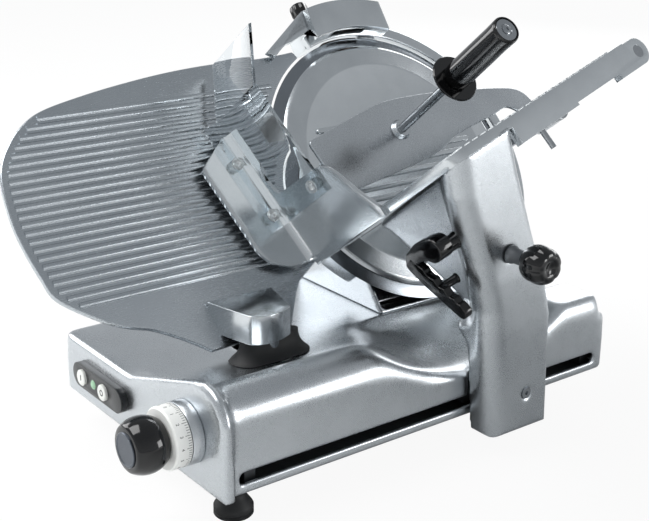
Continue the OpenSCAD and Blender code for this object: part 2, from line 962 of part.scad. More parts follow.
module table() {
    color("#cfd2d4") table_frame() {
        difference() {
            union() {
                translate([-table_near, -rim_under, blade_gap])
                    cube([table_l, rim_h, table_w]);
                // Skirt along the outer side
                translate([-table_near + skirt_from, -rim_under - skirt_h + skirt_step, table_out - skirt_t])
                    cube([skirt_to - skirt_from, skirt_h - skirt_step + weld, skirt_t]);
                translate([-table_near + skirt_from, -rim_under - skirt_h, table_out - skirt_t])
                    cube([(skirt_to - skirt_from) / 2, skirt_h, skirt_t]);
                // Lugs for the pusher's rod
                for (z = [blade_gap, table_out - lug_t])
                    translate([0, 0, z]) {
                        translate([rod_t, -rod_down, 0])
                            cylinder(r = lug_r, h = lug_t);
                        translate([-table_far - lug_r * 2, -rod_down - lug_r, 0])
                            cube([rod_t + table_far + lug_r * 2, 2 * lug_r, lug_t]);
                    }
            }
            // Pocket under the floor
            translate([-table_near + rim_t, -rim_under - cut, blade_gap + lug_t])
                cube([table_l - 2 * rim_t, rim_h - floor_t + cut, table_w - 2 * lug_t]);
            // Round near corner
            translate([-table_near, -rim_under - cut, table_out])
                rotate([-quarter, 0, 0])
                    difference() {
                        translate([-cut, -cut, 0])
                            cube([table_corner + cut, table_corner + cut, rim_h + 2 * cut]);
                        translate([table_corner, table_corner, -cut])
                            cylinder(r = table_corner, h = rim_h + 2 * cut + 2 * cut);
                    }
            // Bore for the pusher's rod
            translate([rod_t, -rod_down, 0])
                cylinder(r = rod_r + press, h = table_out + cut);
        }
        for (t = [-table_near + table_corner:rib_pitch:-table_far - rib_margin - rib_w])
            translate([t, -table_low - weld, blade_gap + rib_margin])
                cube([rib_w, rib_h + weld, table_w - 2 * rib_margin]);
    }
}

module table_stud() {
    color("#a4a7aa") table_frame()
        translate([-table_near + stud_t, -rim_under - skirt_h, table_out - skirt_t / 2])
            rotate([quarter, 0, 0])
                cylinder(r = stud_r, h = stud_l);
}

module pusher_rod() {
    color("#b7babd") table_frame()
        translate([rod_t, -rod_down, blade_gap])
            cylinder(r = rod_r, h = table_w);
}

// Fence

module fence_outline() {
    top = leg_h;
    polygon(concat([[blade_gap, -fence_foot], [blade_gap + fence_l, -fence_foot], [blade_gap + fence_l, 0]],
        [[blade_gap + fence_l * 0.89, fence_h * 0.41], [blade_gap + fence_l * 0.82, fence_h * 0.75],
        [blade_gap + fence_l * 0.72, fence_h], [blade_gap + leg_in, fence_h + fence_step],
        [blade_gap + leg_top, top], [blade_gap, top]]));
}

module fence() {
    color("#d2d4d6") table_frame() {
        difference() {
            union() {
                // Wall across the table's near end
                translate([-table_near - sheet_t, -table_low, 0])
                    rotate([0, -quarter, 0])
                        mirror([0, 0, 1])
                            linear_extrude(sheet_t)
                                fence_outline();
                // Flange beside the blade
                translate([-table_near, -table_low, blade_gap])
                    linear_extrude(sheet_t)
                        polygon([for (p = flange_share) [-p[0] * flange_w, p[1] * leg_h]]);
            }
            for (h = [screw_low, screw_high])
                translate([-table_near - sheet_t - screw_flap_t, h - table_low, blade_gap - cut])
                    cylinder(r = guard_shank_r + press, h = sheet_t + 2 * cut);
            translate([-table_near + cut, screw_wall_h - table_low, blade_gap + screw_wall_s])
                rotate([0, -quarter, 0])
                    cylinder(r = guard_shank_r + press, h = sheet_t + 2 * cut);
        }
    }
}

guard_t0 = -table_near - sheet_t - guard_t;
guard_s0 = blade_gap + sheet_t;

module hand_guard() {
    color("#d7e6ee", 0.35) table_frame() difference() {
        translate([0, -table_low, 0])
            union() {
                // Upright sheet and the part that leans over the food
                translate([0, 0, guard_s0])
                    linear_extrude(guard_out)
                        polygon([[guard_t0, guard_low], [guard_t0 + guard_t, guard_low],
                            [guard_t0 + guard_t, guard_bend], [guard_t0 + guard_t + guard_lean_t, guard_high],
                            [guard_t0 + guard_lean_t, guard_high], [guard_t0, guard_bend]]);
                // Return beside the blade
                translate([guard_t0 + guard_t - guard_flap, guard_low, guard_s0])
                    cube([guard_flap, guard_bend - guard_low, guard_t]);
            }
        for (h = [screw_low, screw_high])
            translate([-table_near - sheet_t - screw_flap_t, h - table_low, blade_gap])
                cylinder(r = guard_shank_r + press, h = 2 * guard_t + 2 * cut);
        translate([-table_near + cut, screw_wall_h - table_low, blade_gap + screw_wall_s])
            rotate([0, -quarter, 0])
                cylinder(r = guard_shank_r + press, h = sheet_t + guard_t + 2 * cut);
    }
}

module guard_screws() {
    color("#dfe3e6") table_frame() {
        for (h = [screw_low, screw_high])
            translate([-table_near - sheet_t - screw_flap_t, h - table_low, blade_gap]) {
                cylinder(r = guard_shank_r, h = sheet_t + guard_t + weld);
                translate([0, 0, sheet_t + guard_t])
                    cylinder(r = guard_screw_r, h = guard_screw_h);
            }
        translate([-table_near, screw_wall_h - table_low, blade_gap + screw_wall_s])
            rotate([0, -quarter, 0]) {
                cylinder(r = guard_shank_r, h = sheet_t + guard_t + weld);
                translate([0, 0, sheet_t + guard_t])
                    cylinder(r = guard_screw_r, h = guard_screw_h);
            }
    }
}

// Pusher

module pusher_sleeve() {
    color("#a9acaf") table_frame()
        translate([rod_t, -rod_down, pusher_at])
            difference() {
                union() {
                    cylinder(r = sleeve_r, h = sleeve_l);
                    translate([0, 0, hub_l + clear])
                        cylinder(r = hub_r, h = sleeve_l - hub_l - clear);
                }
                translate([0, 0, -cut])
                    cylinder(r = rod_r + fit, h = sleeve_l + 2 * cut);
            }
}

module pusher_plate() {
    color("#d0d2d4") table_frame()
        difference() {
            union() {
                translate([0, 0, pusher_at])
                    linear_extrude(plate_sheet)
                        polygon([for (p = pusher_share) p * pusher_span]);
                translate([rod_t, -rod_down, pusher_at])
                    cylinder(r = hub_r, h = hub_l);
                for (i = [0:spikes - 1])
                    translate([spike_t + spike_pitch * i, spike_d, pusher_at - spike_l])
                        cylinder(r1 = spike_tip_r, r2 = spike_r, h = spike_l + weld);
                translate([pusher_shaft_t, pusher_shaft_d, pusher_at + plate_sheet - weld])
                    cylinder(r = pusher_foot_r, h = pusher_foot_t + weld);
            }
            translate([rod_t, -rod_down, pusher_at - cut])
                cylinder(r = sleeve_r + fit, h = hub_l + 2 * cut);
        }
}

// The handle's own frame, from the foot outwards
module pusher_axis() {
    table_frame()
        translate([pusher_shaft_t, pusher_shaft_d, pusher_at + plate_sheet + pusher_foot_t])
            rotate([-pusher_lean, 0, 0])
                children();
}

module pusher_shaft() {
    color("#c3c6c8") difference() {
        pusher_axis()
            translate([0, 0, -air])
                cylinder(r = pusher_shaft_r, h = shield_at + grip_l + air);
        table_frame()
            translate([pusher_shaft_t - pusher_foot_r, pusher_shaft_d - pusher_foot_r, pusher_at + plate_sheet])
                cube([2 * pusher_foot_r, 2 * pusher_foot_r, pusher_foot_t]);
    }
}

module pusher_shield() {
    color("#1a1b1d") pusher_axis()
        translate([0, 0, shield_at - shield_t])
            ring(shield_d / 2, pusher_shaft_r + press, shield_t);
}

module pusher_grip() {
    color("#1d1e20") pusher_axis()
        translate([0, 0, shield_at])
            ring(grip_r, pusher_shaft_r + press, grip_l);
}

module pusher_cap() {
    color("#c9ccce") pusher_axis()
        translate([0, 0, shield_at + grip_l]) {
            cylinder(r = cap_r, h = cap_l);
            translate([0, 0, cap_l - weld])
                cylinder(r = cap_screw_r, h = cap_screw_h + weld);
        }
}

// Gauge plate and what carries it

module gauge_outline() {
    polygon([for (p = gauge_share) p * gauge_reach]);
}

module gauge_plate() {
    color("#d3d5d7") blade_frame() difference() {
        union() {
            translate([0, 0, gauge_top - gauge_t])
                linear_extrude(gauge_t)
                    gauge_outline();
            translate([0, 0, gauge_top - weld])
                linear_extrude(gauge_rib_h + weld)
                    intersection() {
                        translate(gauge_mid * gauge_reach)
                            scale(gauge_rib_scale)
                                translate(-gauge_mid * gauge_reach)
                                    gauge_outline();
                        for (i = [0:gauge_ribs - 1])
                            translate([-2 * gauge_reach, gauge_rib_first - gauge_pitch * i - gauge_rib_w / 2])
                                square([2 * gauge_reach, gauge_rib_w]);
                    }
        }
        translate([0, 0, gauge_top - gauge_t - cut])
            cylinder(r = gauge_hole_r, h = gauge_t + gauge_rib_h + 2 * cut);
    }
}

module gauge_support() {
    color("#c2c5c8") {
        difference() {
            blade_frame()
                translate([support_y, -support_low, support_s / 2 + gauge_top])
                    rotate([quarter, 0, 0])
                        translate([0, 0, -support_reach / 2])
                            linear_extrude(2 * support_reach)
                                round_rect(support_l, support_s, support_round);
            // Level foot and level top
            translate([-base_w, -base_d, support_low - base_w])
                cube([2 * base_w, 2 * base_d, base_w]);
            translate([-base_w, -base_d, support_top])
                cube([2 * base_w, 2 * base_d, base_w]);
            // Seat on the front of the gauge plate
            blade_frame()
                translate([-2 * gauge_reach, -gauge_reach, gauge_top - gauge_reach])
                    cube([2 * gauge_reach, 2 * gauge_reach, gauge_reach]);
        }
        translate([post_x, post_y, post_low + carrier_h])
            cylinder(r = post_r, h = support_low - post_low - carrier_h + weld);
    }
}

module gauge_bellows() {
    fold = (support_low - deck_h - skirt_gap) / bellows_folds;
    color("#1e1f21") difference() {
        union() {
            translate([post_x, post_y, deck_h + skirt_gap])
                linear_extrude(fold * bellows_folds)
                    stadium_y(bellows_l - 2 * bellows_step, bellows_w - 2 * bellows_step);
            for (i = [0:2:bellows_folds - 1])
                translate([post_x, post_y, deck_h + skirt_gap + i * fold])
                    linear_extrude(fold)
                        stadium_y(bellows_l, bellows_w);
        }
        translate([post_x, post_y, deck_h - cut])
            cylinder(r = post_r + press, h = support_low);
        // Flat where the gauge plate passes
        blade_frame()
            translate([-2 * gauge_reach, -gauge_reach, gauge_top + gauge_rib_h + clear - gauge_reach])
                cube([2 * gauge_reach, 2 * gauge_reach, gauge_reach]);
    }
}

module stadium_y(l, w) {
    square([w, l - w], center = true);
    for (s = [-1, 1])
        translate([0, s * (l - w) / 2])
            circle(r = w / 2);
}

module gauge_carrier() {
    arm_back = post_y - carrier_w / 2;
    color("#777b7e") difference() {
        union() {
            translate([post_x - carrier_l / 2, post_y - carrier_w / 2, post_low])
                cube([carrier_l, carrier_w, carrier_h]);
            // Arm that reaches forward to the knob's pinion
            translate([post_x, pinion_y, rack_z])
                cube([rack_arm_w, arm_back - pinion_y + weld, rack_h]);
            // Rack under the pinion
            translate([post_x, pinion_y, rack_z])
                cube([knob_x + gauge_travel + rack_lead - post_x, pinion_l, rack_h]);
            translate([knob_x, 0, knob_z])
                along_y(pinion_y, pinion_l)
                    for (i = [rack_first:rack_last])
                        translate([(i + 1 / 2) * tooth_pitch, 0])
                            polygon([for (p = rack_tooth_share) pinion_r * [p[0], -p[1]]]);
        }
        rod_x(post_x - carrier_l, post_y, gauge_bar_z + gauge_bar_r, gauge_bar_r + fit, 2 * carrier_l);
    }
}

module gauge_guide_bar() {
    color("#b4b7ba")
        rod_x(post_x - gauge_travel / 2 - gauge_bar_l / 2, post_y, gauge_bar_z + gauge_bar_r, gauge_bar_r, gauge_bar_l);
}

module gauge_bar_blocks() {
    color("#7d8184")
        for (x = [post_x - gauge_travel / 2 - gauge_bar_l / 2,
            post_x - gauge_travel / 2 + gauge_bar_l / 2 - gauge_block_t])
            difference() {
                translate([x, post_y - gauge_block_w / 2, foot_h + plate_t])
                    cube([gauge_block_t, gauge_block_w, gauge_bar_z + 2 * gauge_bar_r + air - foot_h - plate_t]);
                rod_x(x - cut, post_y, gauge_bar_z + gauge_bar_r, gauge_bar_r + press, gauge_block_t + 2 * cut);
            }
}

// Blade and its drive

module blade() {
    color("#9ea1a4") blade_frame()
        rotate_extrude()
            polygon([[hub_hole_r, -blade_t], [blade_r - edge_land, -blade_t], [blade_r, -blade_t + edge_land],
                [blade_r - bevel_w, 0], [hub_hole_r, 0]]);
}

module blade_shaft() {
    color("#8e9194") blade_frame() difference() {
        union() {
            translate([0, 0, flange_back])
                cylinder(r = flange_r, h = flange_t);
            translate([0, 0, flange_back])
                cylinder(r = hub_hole_r - press, h = flange_t + blade_t - spigot_drop);
            translate([0, 0, shaft_end])
                cylinder(r = shaft_r, h = flange_back - shaft_end + weld);
        }
        translate([0, 0, shaft_end - cut])
            cylinder(r = shaft_bore_r, h = blade_t - shaft_end + cut);
    }
}

module blade_pulley() {
    color("#70757a") blade_frame()
        translate([0, 0, pulley_back])
            difference() {
                union() {
                    cylinder(r = pulley_r, h = pulley_w);
                    cylinder(r = pulley_r + pulley_lip, h = pulley_lip_w);
                    translate([0, 0, pulley_w - pulley_lip_w])
                        cylinder(r = pulley_r + pulley_lip, h = pulley_lip_w);
                }
                translate([0, 0, -cut])
                    cylinder(r = shaft_r + press, h = pulley_w + 2 * cut);
            }
}

module bearings() {
    color("#a8abae") blade_frame()
        for (z = [floor_back - bearing_w + head_wall - boss_lip, shaft_end + clear])
            translate([0, 0, z])
                ring(bearing_r - press, shaft_r + fit, bearing_w);
}

module head_casting() {
    back = flat_pt(floor_back - head_wall * 3, 0);
    wall_x = base_left + 9;
    g_front = deck_g(head_front);
    g_floor = deck_g(floor_back);
    color("#bfc2c5") difference() {
        union() {
            blade_frame()
                translate([0, 0, floor_back])
                    linear_extrude(head_front - clear - floor_back)
                        head_outline(head_r, head_half, g_front - head_r);
            along_y(blade_y - head_half, 2 * head_half)
                polygon([[flat_x(floor_back, g_floor) + air, deck_h - cut], flat_pt(floor_back + air, 0), back,
                    [wall_x, back[1] - head_wall * 3], [wall_x, deck_h - cut]]);
            blade_frame() {
                translate([0, 0, boss_back])
                    cylinder(r = boss_r, h = floor_front - boss_back);
                for (a = ring_arm_angles)
                    rotate([0, 0, a])
                        translate([arm_root, -arm_w / 2, head_front - arm_t])
                            cube([ring_out_r - arm_root, arm_w, arm_t]);
            }
        }
        // Everything under the deck
        translate([-base_w, -base_d, deck_h - base_w])
            cube([2 * base_w, 2 * base_d, base_w]);
        // Room for the pulleys
        blade_frame()
            translate([0, 0, floor_front])
                linear_extrude(-floor_front)
                    head_outline(head_r - head_wall, head_half - head_wall, g_front + head_wall);
        // Room behind the floor
        intersection() {
            along_y(blade_y - head_half + head_wall, 2 * head_half - 2 * head_wall)
                polygon([[flat_x(floor_back, g_floor) + shaft_r, deck_h - cut], flat_pt(floor_front, -head_wall - boss_r),
                    flat_pt(floor_back - head_wall * 2, -head_wall - boss_r),
                    [wall_x + head_wall, back[1] - head_wall * 3 - boss_r - head_wall],
                    [wall_x + head_wall, deck_h - cut]]);
            blade_frame()
                translate([-base_w, -base_d, floor_back - base_d])
                    cube([2 * base_w, 2 * base_d, base_d]);
        }
        blade_frame() {
            // Finger room round the cover's knob
            cylinder_z(cover_knob_r + air, boss_back - base_w, boss_back);
            // Bearing bore
            translate([0, 0, shaft_end])
                cylinder(r = bearing_r, h = floor_front - boss_lip - shaft_end);
            cylinder_z(bearing_lip_r, floor_front - 2 * boss_lip, floor_front + cut);
            cylinder_z(tie_r + press, boss_back - cut, shaft_end + cut);
            // Hole for the motor's shaft
            translate([0, -motor_drop, 0])
                cylinder_z(motor_shaft_r + air, floor_back - cut, floor_front + cut);
        }
    }
}

module cylinder_z(r, z0, z1) {
    translate([0, 0, z0])
        cylinder(r = r, h = z1 - z0);
}

module head_outline(r, half, low) {
    circle(r = r);
    translate([-half, low])
        square([2 * half, -low]);
}

module motor() {
    color("#5d6265") blade_frame()
        translate([0, -motor_drop, 0])
            difference() {
                union() {
                    cylinder_z(motor_flange_r, floor_back - motor_flange_t, floor_back);
                    cylinder_z(motor_r, floor_back - motor_l, floor_back);
                }
                cylinder_z(motor_shaft_r + fit, floor_back - motor_l + motor_cap_l, floor_back + cut);
            }
}

module motor_pulley() {
    color("#63686c") blade_frame()
        translate([0, -motor_drop, 0]) {
            cylinder_z(motor_shaft_r, floor_back - motor_l + motor_cap_l + clear, pulley_back + pulley_w);
            cylinder_z(motor_pulley_r, pulley_back, pulley_back + pulley_w);
            cylinder_z(motor_pulley_r + pulley_lip, pulley_back, pulley_back + pulley_lip_w);
            cylinder_z(motor_pulley_r + pulley_lip, pulley_back + pulley_w - pulley_lip_w, pulley_back + pulley_w);
        }
}

// Outline of a belt that runs round both pulleys, grown by g
module belt_outline(g) {
    hull() {
        circle(r = pulley_r + g);
        translate([0, -motor_drop])
            circle(r = motor_pulley_r + g);
    }
}

belt_z = pulley_back + pulley_w / 2 - belt_w / 2;

module drive_belt() {
    color("#1c1d1f") blade_frame()
        translate([0, 0, belt_z])
            linear_extrude(belt_w)
                difference() {
                    belt_outline(belt_gap + belt_t);
                    belt_outline(belt_gap);
                }
}

module belt_tensioner() {
    reach = pulley_r + belt_gap + belt_t;
    color("#6d7174") blade_frame()
        rotate([0, 0, -belt_slope])
            translate([reach, -motor_drop / 2 - arm_w / 2, floor_front])
                cube([shaft_r - head_wall, arm_w, belt_z + belt_w - floor_front]);
}

module blade_ring() {
    color("#bcbfc2") blade_frame()
        translate([0, 0, head_front])
            linear_extrude(ring_t)
                intersection() {
                    difference() {
                        circle(r = ring_out_r);
                        circle(r = ring_in_r);
                    }
                    pie(ring_out_r, ring_from, ring_to);
                }
}

module blade_cover() {
    color("#d6d8da") blade_frame()
        translate([0, 0, cover_lift]) {
            cylinder(r = cover_r, h = cover_t);
            for (i = [0:cover_ribs - 1]) {
                g = cover_rib_pitch * (i - (cover_ribs - 1) / 2);
                half = sqrt(cover_rib_r * cover_rib_r - g * g);
                translate([-half, g - cover_rib_w / 2, cover_t - weld])
                    cube([2 * half, cover_rib_w, cover_rib_h + weld]);
            }
        }
}

module cover_tie_rod() {
    color("#9b9ea1") blade_frame() {
        cylinder_z(tie_r, boss_back, -spigot_drop + cover_lift / 2);
        cylinder_z(tie_flange_r, cover_lift - tie_flange_t, cover_lift);
    }
}

module cover_knob() {
    color("#191a1c") blade_frame()
        cylinder_z(cover_knob_r, boss_back - cover_knob_l, boss_back);
}

// Sharpener

module sharp_sector(r_in, r_out, left, right) {
    difference() {
        intersection() {
            circle(r = r_out);
            translate([left, 0])
                square([right - left, r_out]);
        }
        circle(r = r_in);
    }
}

module sharpener_housing() {
    color("#cbced0") blade_frame() difference() {
        union() {
            translate([0, 0, sharp_back])
                linear_extrude(sharp_front - sharp_back)
                    sharp_sector(sharp_in_r, sharp_out_r, sharp_left, sharp_right);
            linear_extrude(apron_front)
                difference() {
                    polygon([for (p = apron_share) p * blade_r]);
                    circle(r = sharp_in_r);
                }
        }
        // Seat over the guard ring
        cylinder_z(ring_out_r + weld, head_front - arm_t, 0);
        // Room for the stones
        translate([0, 0, sharp_back + sharp_wall])
            linear_extrude(sharp_front - sharp_back - 2 * sharp_wall)
                sharp_sector(0, sharp_out_r - sharp_wall, -sharp_wall * 4, sharp_wall * 4);
        translate([sharp_knob_dy, 0, sharp_knob_s])
            rotate([-quarter, 0, 0])
                cylinder_z(sharp_pin_r + fit, sharp_out_r - sharp_pin_l, sharp_out_r + cut);
    }
}

module grinding_stones() {
    back = sharp_back + sharp_wall;
    front = sharp_front - sharp_wall;
    color("#8d5a3c") blade_frame() {
        translate([-stone_dy, stone_g, 0]) {
            cylinder_z(stone_pin_r, back, back + stone_gap + weld);
            cylinder_z(stone_r, back + stone_gap, back + stone_gap + stone_t);
        }
        translate([stone_dy, stone_g, 0]) {
            cylinder_z(stone_pin_r, front - stone_gap / 2 - weld, front);
            cylinder_z(stone_r, front - stone_gap / 2 - stone_t / 2, front - stone_gap / 2);
        }
    }
}

module sharpener_knob() {
    color("#17181a") blade_frame()
        translate([sharp_knob_dy, 0, sharp_knob_s])
            rotate([-quarter, 0, 0]) {
                cylinder_z(sharp_knob_r, sharp_out_r + clear, sharp_out_r + clear + sharp_knob_l);
                cylinder_z(sharp_pin_r, sharp_out_r - sharp_pin_l + clear, sharp_out_r + clear + weld);
            }
}

module slice_deflector() {
    color("#cdd0d2") blade_frame()
        translate([0, 0, deflector_back])
            linear_extrude(deflector_front - deflector_back)
                intersection() {
                    difference() {
                        circle(r = deflector_r + deflector_t);
                        circle(r = deflector_r);
                        // It ends on the side of the head
                        translate([-head_half, -2 * blade_r])
                            square([2 * head_half, 2 * blade_r]);
                    }
                    pie(deflector_r, deflector_from, deflector_to);
                }
}

base_casting();
bottom_plate();
feet();
switch_plate();
indicator_lamp();
control_board();
dial_collar();
guide_bar();
guide_bar_blocks();
roller_strip();
gauge_guide_bar();
gauge_bar_blocks();
head_casting();
motor();
bearings();
drive_belt();
belt_tensioner();
blade_ring();
blade_cover();
cover_tie_rod();
cover_knob();
sharpener_housing();
grinding_stones();
slice_deflector();
gauge_plate();
gauge_support();
gauge_bellows();
gauge_carrier();
thickness_knob();
dial_ring();
knob_cap();
knob_shaft();
blade();
blade_shaft();
blade_pulley();
motor_pulley();
carriage_slider();
slider_bushes();
carriage_roller();
column();
column_screw();
table();
table_stud();
fence();
hand_guard();
guard_screws();
pull_handle();
pusher_rod();
lock_knob();
pusher_sleeve();
pusher_plate();
pusher_shaft();
pusher_shield();
pusher_grip();
pusher_cap();
start_button();
stop_button();
sharpener_knob();
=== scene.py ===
"""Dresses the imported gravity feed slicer: smooth castings, ribs, dial marks and finishes."""
import math

import bpy
from mathutils import Matrix, Vector


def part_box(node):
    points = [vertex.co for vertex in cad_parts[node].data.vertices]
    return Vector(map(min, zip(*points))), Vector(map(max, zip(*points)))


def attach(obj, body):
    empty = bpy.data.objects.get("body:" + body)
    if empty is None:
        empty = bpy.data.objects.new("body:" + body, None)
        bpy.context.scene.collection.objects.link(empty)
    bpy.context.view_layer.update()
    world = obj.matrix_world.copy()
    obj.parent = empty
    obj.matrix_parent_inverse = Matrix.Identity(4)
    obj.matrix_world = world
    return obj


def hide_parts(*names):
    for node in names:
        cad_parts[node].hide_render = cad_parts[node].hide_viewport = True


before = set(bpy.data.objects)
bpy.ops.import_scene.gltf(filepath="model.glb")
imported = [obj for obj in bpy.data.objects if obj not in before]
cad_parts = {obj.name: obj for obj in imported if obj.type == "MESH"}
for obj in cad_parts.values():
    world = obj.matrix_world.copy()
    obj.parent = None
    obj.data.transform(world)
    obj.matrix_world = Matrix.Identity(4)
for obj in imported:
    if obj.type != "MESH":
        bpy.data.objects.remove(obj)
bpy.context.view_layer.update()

bl_info = {
    "name": "Gravity feed slicer",
    "version": (1, 0, 0),
    "blender": (4, 5, 0),
    "location": "View3D > Sidebar > Slicer",
    "description": "Makes the pieces and finishes of a gravity feed slicer round its packed frame",
    "category": "Object",
}

# Lengths below are in millimetres unless a name says otherwise; a piece is turned to metres when placed.
MM = 0.001
TURN = 2 * math.pi
LEAN = math.radians(37)
SIDE_TILT = math.radians(16.5)
BLADE_CENTRE = Vector((-83, 142, 241))
BLADE_R = 165
COVER_R = 152
COVER_LIFT = 0.8
COVER_T = 4.5
RING_IN = 168
RING_OUT = 183
TABLE_NEAR = 187
TABLE_LOW = 37
BLADE_GAP = 8
SHEET = 4
BASE_FRONT = -259
KNOB_AT = Vector((100, 0, 90))
DIAL_BACK = -271.5
DIAL_L = 16.5
DIAL_R = 30
KNOB_R = 27
KNOB_L = 36
DISC_R = 16.5
DISC_T = 1.5
ARM_OUT_X = 189
LOCK_AT = Vector((0, 53.5, 222.5))
LOCK_STEM = 24
LOCK_R = 18.5
LOCK_L = 28
GAUGE_REACH = 473
GAUGE_TOP = -2
GAUGE_T = 7
PUSHER_AT = 100
SHAFT_FOOT = (-66, 22)
SWITCH_FRONT = BASE_FRONT - 8
SWITCH_Z = 73
LAMP_X = -72
NUMBER_STEP = 5
RIB_H = 1.5
FLUTES = 6
FINE_STEP = 2.2
FOCAL_PX = 1252
PHOTO_WIDTH_PX = 649
SENSOR_MM = 36

ALONG = Vector((0, 1, 0))
FACE_UP = Vector((-math.sin(LEAN), 0, math.cos(LEAN)))
FACE_OUT = Vector((math.cos(LEAN), 0, math.sin(LEAN)))
TABLE_ALONG = ALONG * math.cos(SIDE_TILT) + FACE_UP * math.sin(SIDE_TILT)
TABLE_UP = FACE_UP * math.cos(SIDE_TILT) - ALONG * math.sin(SIDE_TILT)


def frame_of(x_axis, y_axis, z_axis, origin):
    """A placing matrix with these axes, whose inputs are millimetres and whose result is metres."""
    turned = Matrix((x_axis, y_axis, z_axis)).transposed().to_4x4()
    return Matrix.Translation(Vector(origin) * MM) @ turned @ Matrix.Scale(MM, 4)


WORLD_FRAME = Matrix.Scale(MM, 4)
BLADE_FRAME = frame_of(ALONG, FACE_UP, FACE_OUT, BLADE_CENTRE)
TABLE_FRAME = frame_of(TABLE_ALONG, TABLE_UP, FACE_OUT, BLADE_CENTRE)
X_AXIS, Y_AXIS, Z_AXIS = Vector((1, 0, 0)), Vector((0, 1, 0)), Vector((0, 0, 1))


# Modelling


def only(obj):
    """Leaves obj as the one selected and active object."""
    bpy.ops.object.select_all(action="DESELECT")
    obj.select_set(True)
    bpy.context.view_layer.objects.active = obj
    return obj


def begin(obj):
    only(obj)
    bpy.ops.object.mode_set(mode="EDIT")
    bpy.ops.mesh.select_all(action="SELECT")


def end():
    bpy.ops.object.mode_set(mode="OBJECT")


def tidy_mesh(obj, reach=0.001):
    """Joins doubled points and turns every face outwards."""
    begin(obj)
    bpy.ops.mesh.remove_doubles(threshold=reach)
    bpy.ops.mesh.normals_make_consistent(inside=False)
    end()
    return obj


def fresh(name, add, **settings):
    """The object that an add operator makes, with its name."""
    bpy.ops.object.select_all(action="DESELECT")
    add(**settings)
    bpy.context.object.name = name
    return bpy.context.object


def outline(name, points):
    """A filled outline in X and Y: a round primitive whose corners are moved to the given points."""
    obj = fresh(name, bpy.ops.mesh.primitive_circle_add, vertices=len(points), radius=1, fill_type="NGON")
    for corner, point in zip(obj.data.vertices, points):
        corner.co = Vector((point[0], point[1], point[2] if len(point) > 2 else 0))
    return obj


def pushed(name, points, depth, start=0):
    """An outline pushed out along Z from start by depth."""
    obj = outline(name, [(p[0], p[1], start) for p in points])
    begin(obj)
    bpy.ops.mesh.extrude_region_move(TRANSFORM_OT_translate={"value": (0, 0, depth)})
    end()
    return tidy_mesh(obj)


def turned(name, profile, steps=96, closed=False):
    """A profile of radius and height spun round Z."""
    obj = fresh(name, bpy.ops.mesh.primitive_circle_add, vertices=len(profile), radius=1, fill_type="NOTHING")
    for corner, point in zip(obj.data.vertices, profile):
        corner.co = Vector((point[0], 0, point[1]))
    ends = {0, len(profile) - 1}
    begin(obj)
    if not closed:
        bpy.ops.mesh.select_all(action="DESELECT")
        end()
        for edge in obj.data.edges:
            edge.select = set(edge.vertices) == ends
        bpy.ops.object.mode_set(mode="EDIT")
        bpy.ops.mesh.delete(type="EDGE_FACE")
    bpy.ops.mesh.select_all(action="SELECT")
    bpy.ops.mesh.spin(steps=steps, angle=TURN, center=(0, 0, 0), axis=(0, 0, 1))
    end()
    return tidy_mesh(obj)


def modify(obj, kind, **settings):
    """Adds a modifier with its settings and applies it."""
    only(obj)
    bpy.ops.object.modifier_add(type=kind)
    added = obj.modifiers[-1]
    for key, value in settings.items():
        setattr(added, key, value)
    bpy.ops.object.modifier_apply(modifier=added.name)
    return obj


def soften(obj, width, segments=3, angle=35):
    """Rounds every edge sharper than the angle."""
    return modify(obj, "BEVEL", width=width, segments=segments, limit_method="ANGLE",
                  angle_limit=math.radians(angle), use_clamp_overlap=True, harden_normals=False)


def joined(pieces, name):
    bpy.ops.object.select_all(action="DESELECT")
    for piece in pieces:
        piece.select_set(True)
    bpy.context.view_layer.objects.active = pieces[0]
    if len(pieces) > 1:
        bpy.ops.object.join()
    pieces[0].name = name
    return pieces[0]


def placed(obj, matrix=WORLD_FRAME):
    """Puts a piece drawn in millimetres where it belongs, with its place in its mesh."""
    only(obj)
    obj.matrix_world = matrix @ obj.matrix_world
    bpy.ops.object.transform_apply(location=True, rotation=True, scale=True)
    return obj


def moved(obj, place=(0, 0, 0), turn=(0, 0, 0)):
    """Moves and turns a piece in its own units, with its place in its mesh."""
    obj.location, obj.rotation_euler = place, turn
    only(obj)
    bpy.ops.object.transform_apply(location=True, rotation=True, scale=True)
    return obj


def copied(node, name):
    """A merged copy of a CAD node, with its flat faces whole again."""
    obj = bpy.data.objects.new(name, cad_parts[node].data.copy())
    bpy.context.scene.collection.objects.link(obj)
    obj.data.materials.clear()
    begin(obj)
    bpy.ops.mesh.remove_doubles(threshold=0.01 * MM)
    bpy.ops.mesh.dissolve_limited(angle_limit=math.radians(0.4))
    end()
    return obj


def bevel_edges(obj, chosen, width, segments=8):
    """Rounds the edges whose two ends pass the test."""
    begin(obj)
    bpy.ops.mesh.select_all(action="DESELECT")
    end()
    corners = obj.data.vertices
    for edge in obj.data.edges:
        edge.select = chosen(corners[edge.vertices[0]].co, corners[edge.vertices[1]].co)
    bpy.ops.object.mode_set(mode="EDIT")
    bpy.ops.mesh.bevel(offset=width * MM, segments=segments, affect="EDGES", clamp_overlap=True)
    end()
    return obj


def remeshed(obj, step):
    """Gives a piece an even mesh of this step in millimetres, for smoothing."""
    return modify(obj, "REMESH", mode="VOXEL", voxel_size=step * MM, adaptivity=0, use_smooth_shade=True)


def smoothed(obj, passes, group=""):
    return modify(obj, "SMOOTH", factor=0.5, iterations=passes, vertex_group=group)


def smoothed_where(obj, passes, share):
    """Smooths a piece as far as share says, from 0 to 1, for a point in millimetres."""
    group = obj.vertex_groups.new(name="smoothed")
    for corner in obj.data.vertices:
        weight = share(*(corner.co / MM))
        if weight > 0:
            group.add([corner.index], weight, "REPLACE")
    smoothed(obj, passes, group.name)
    obj.vertex_groups.clear()


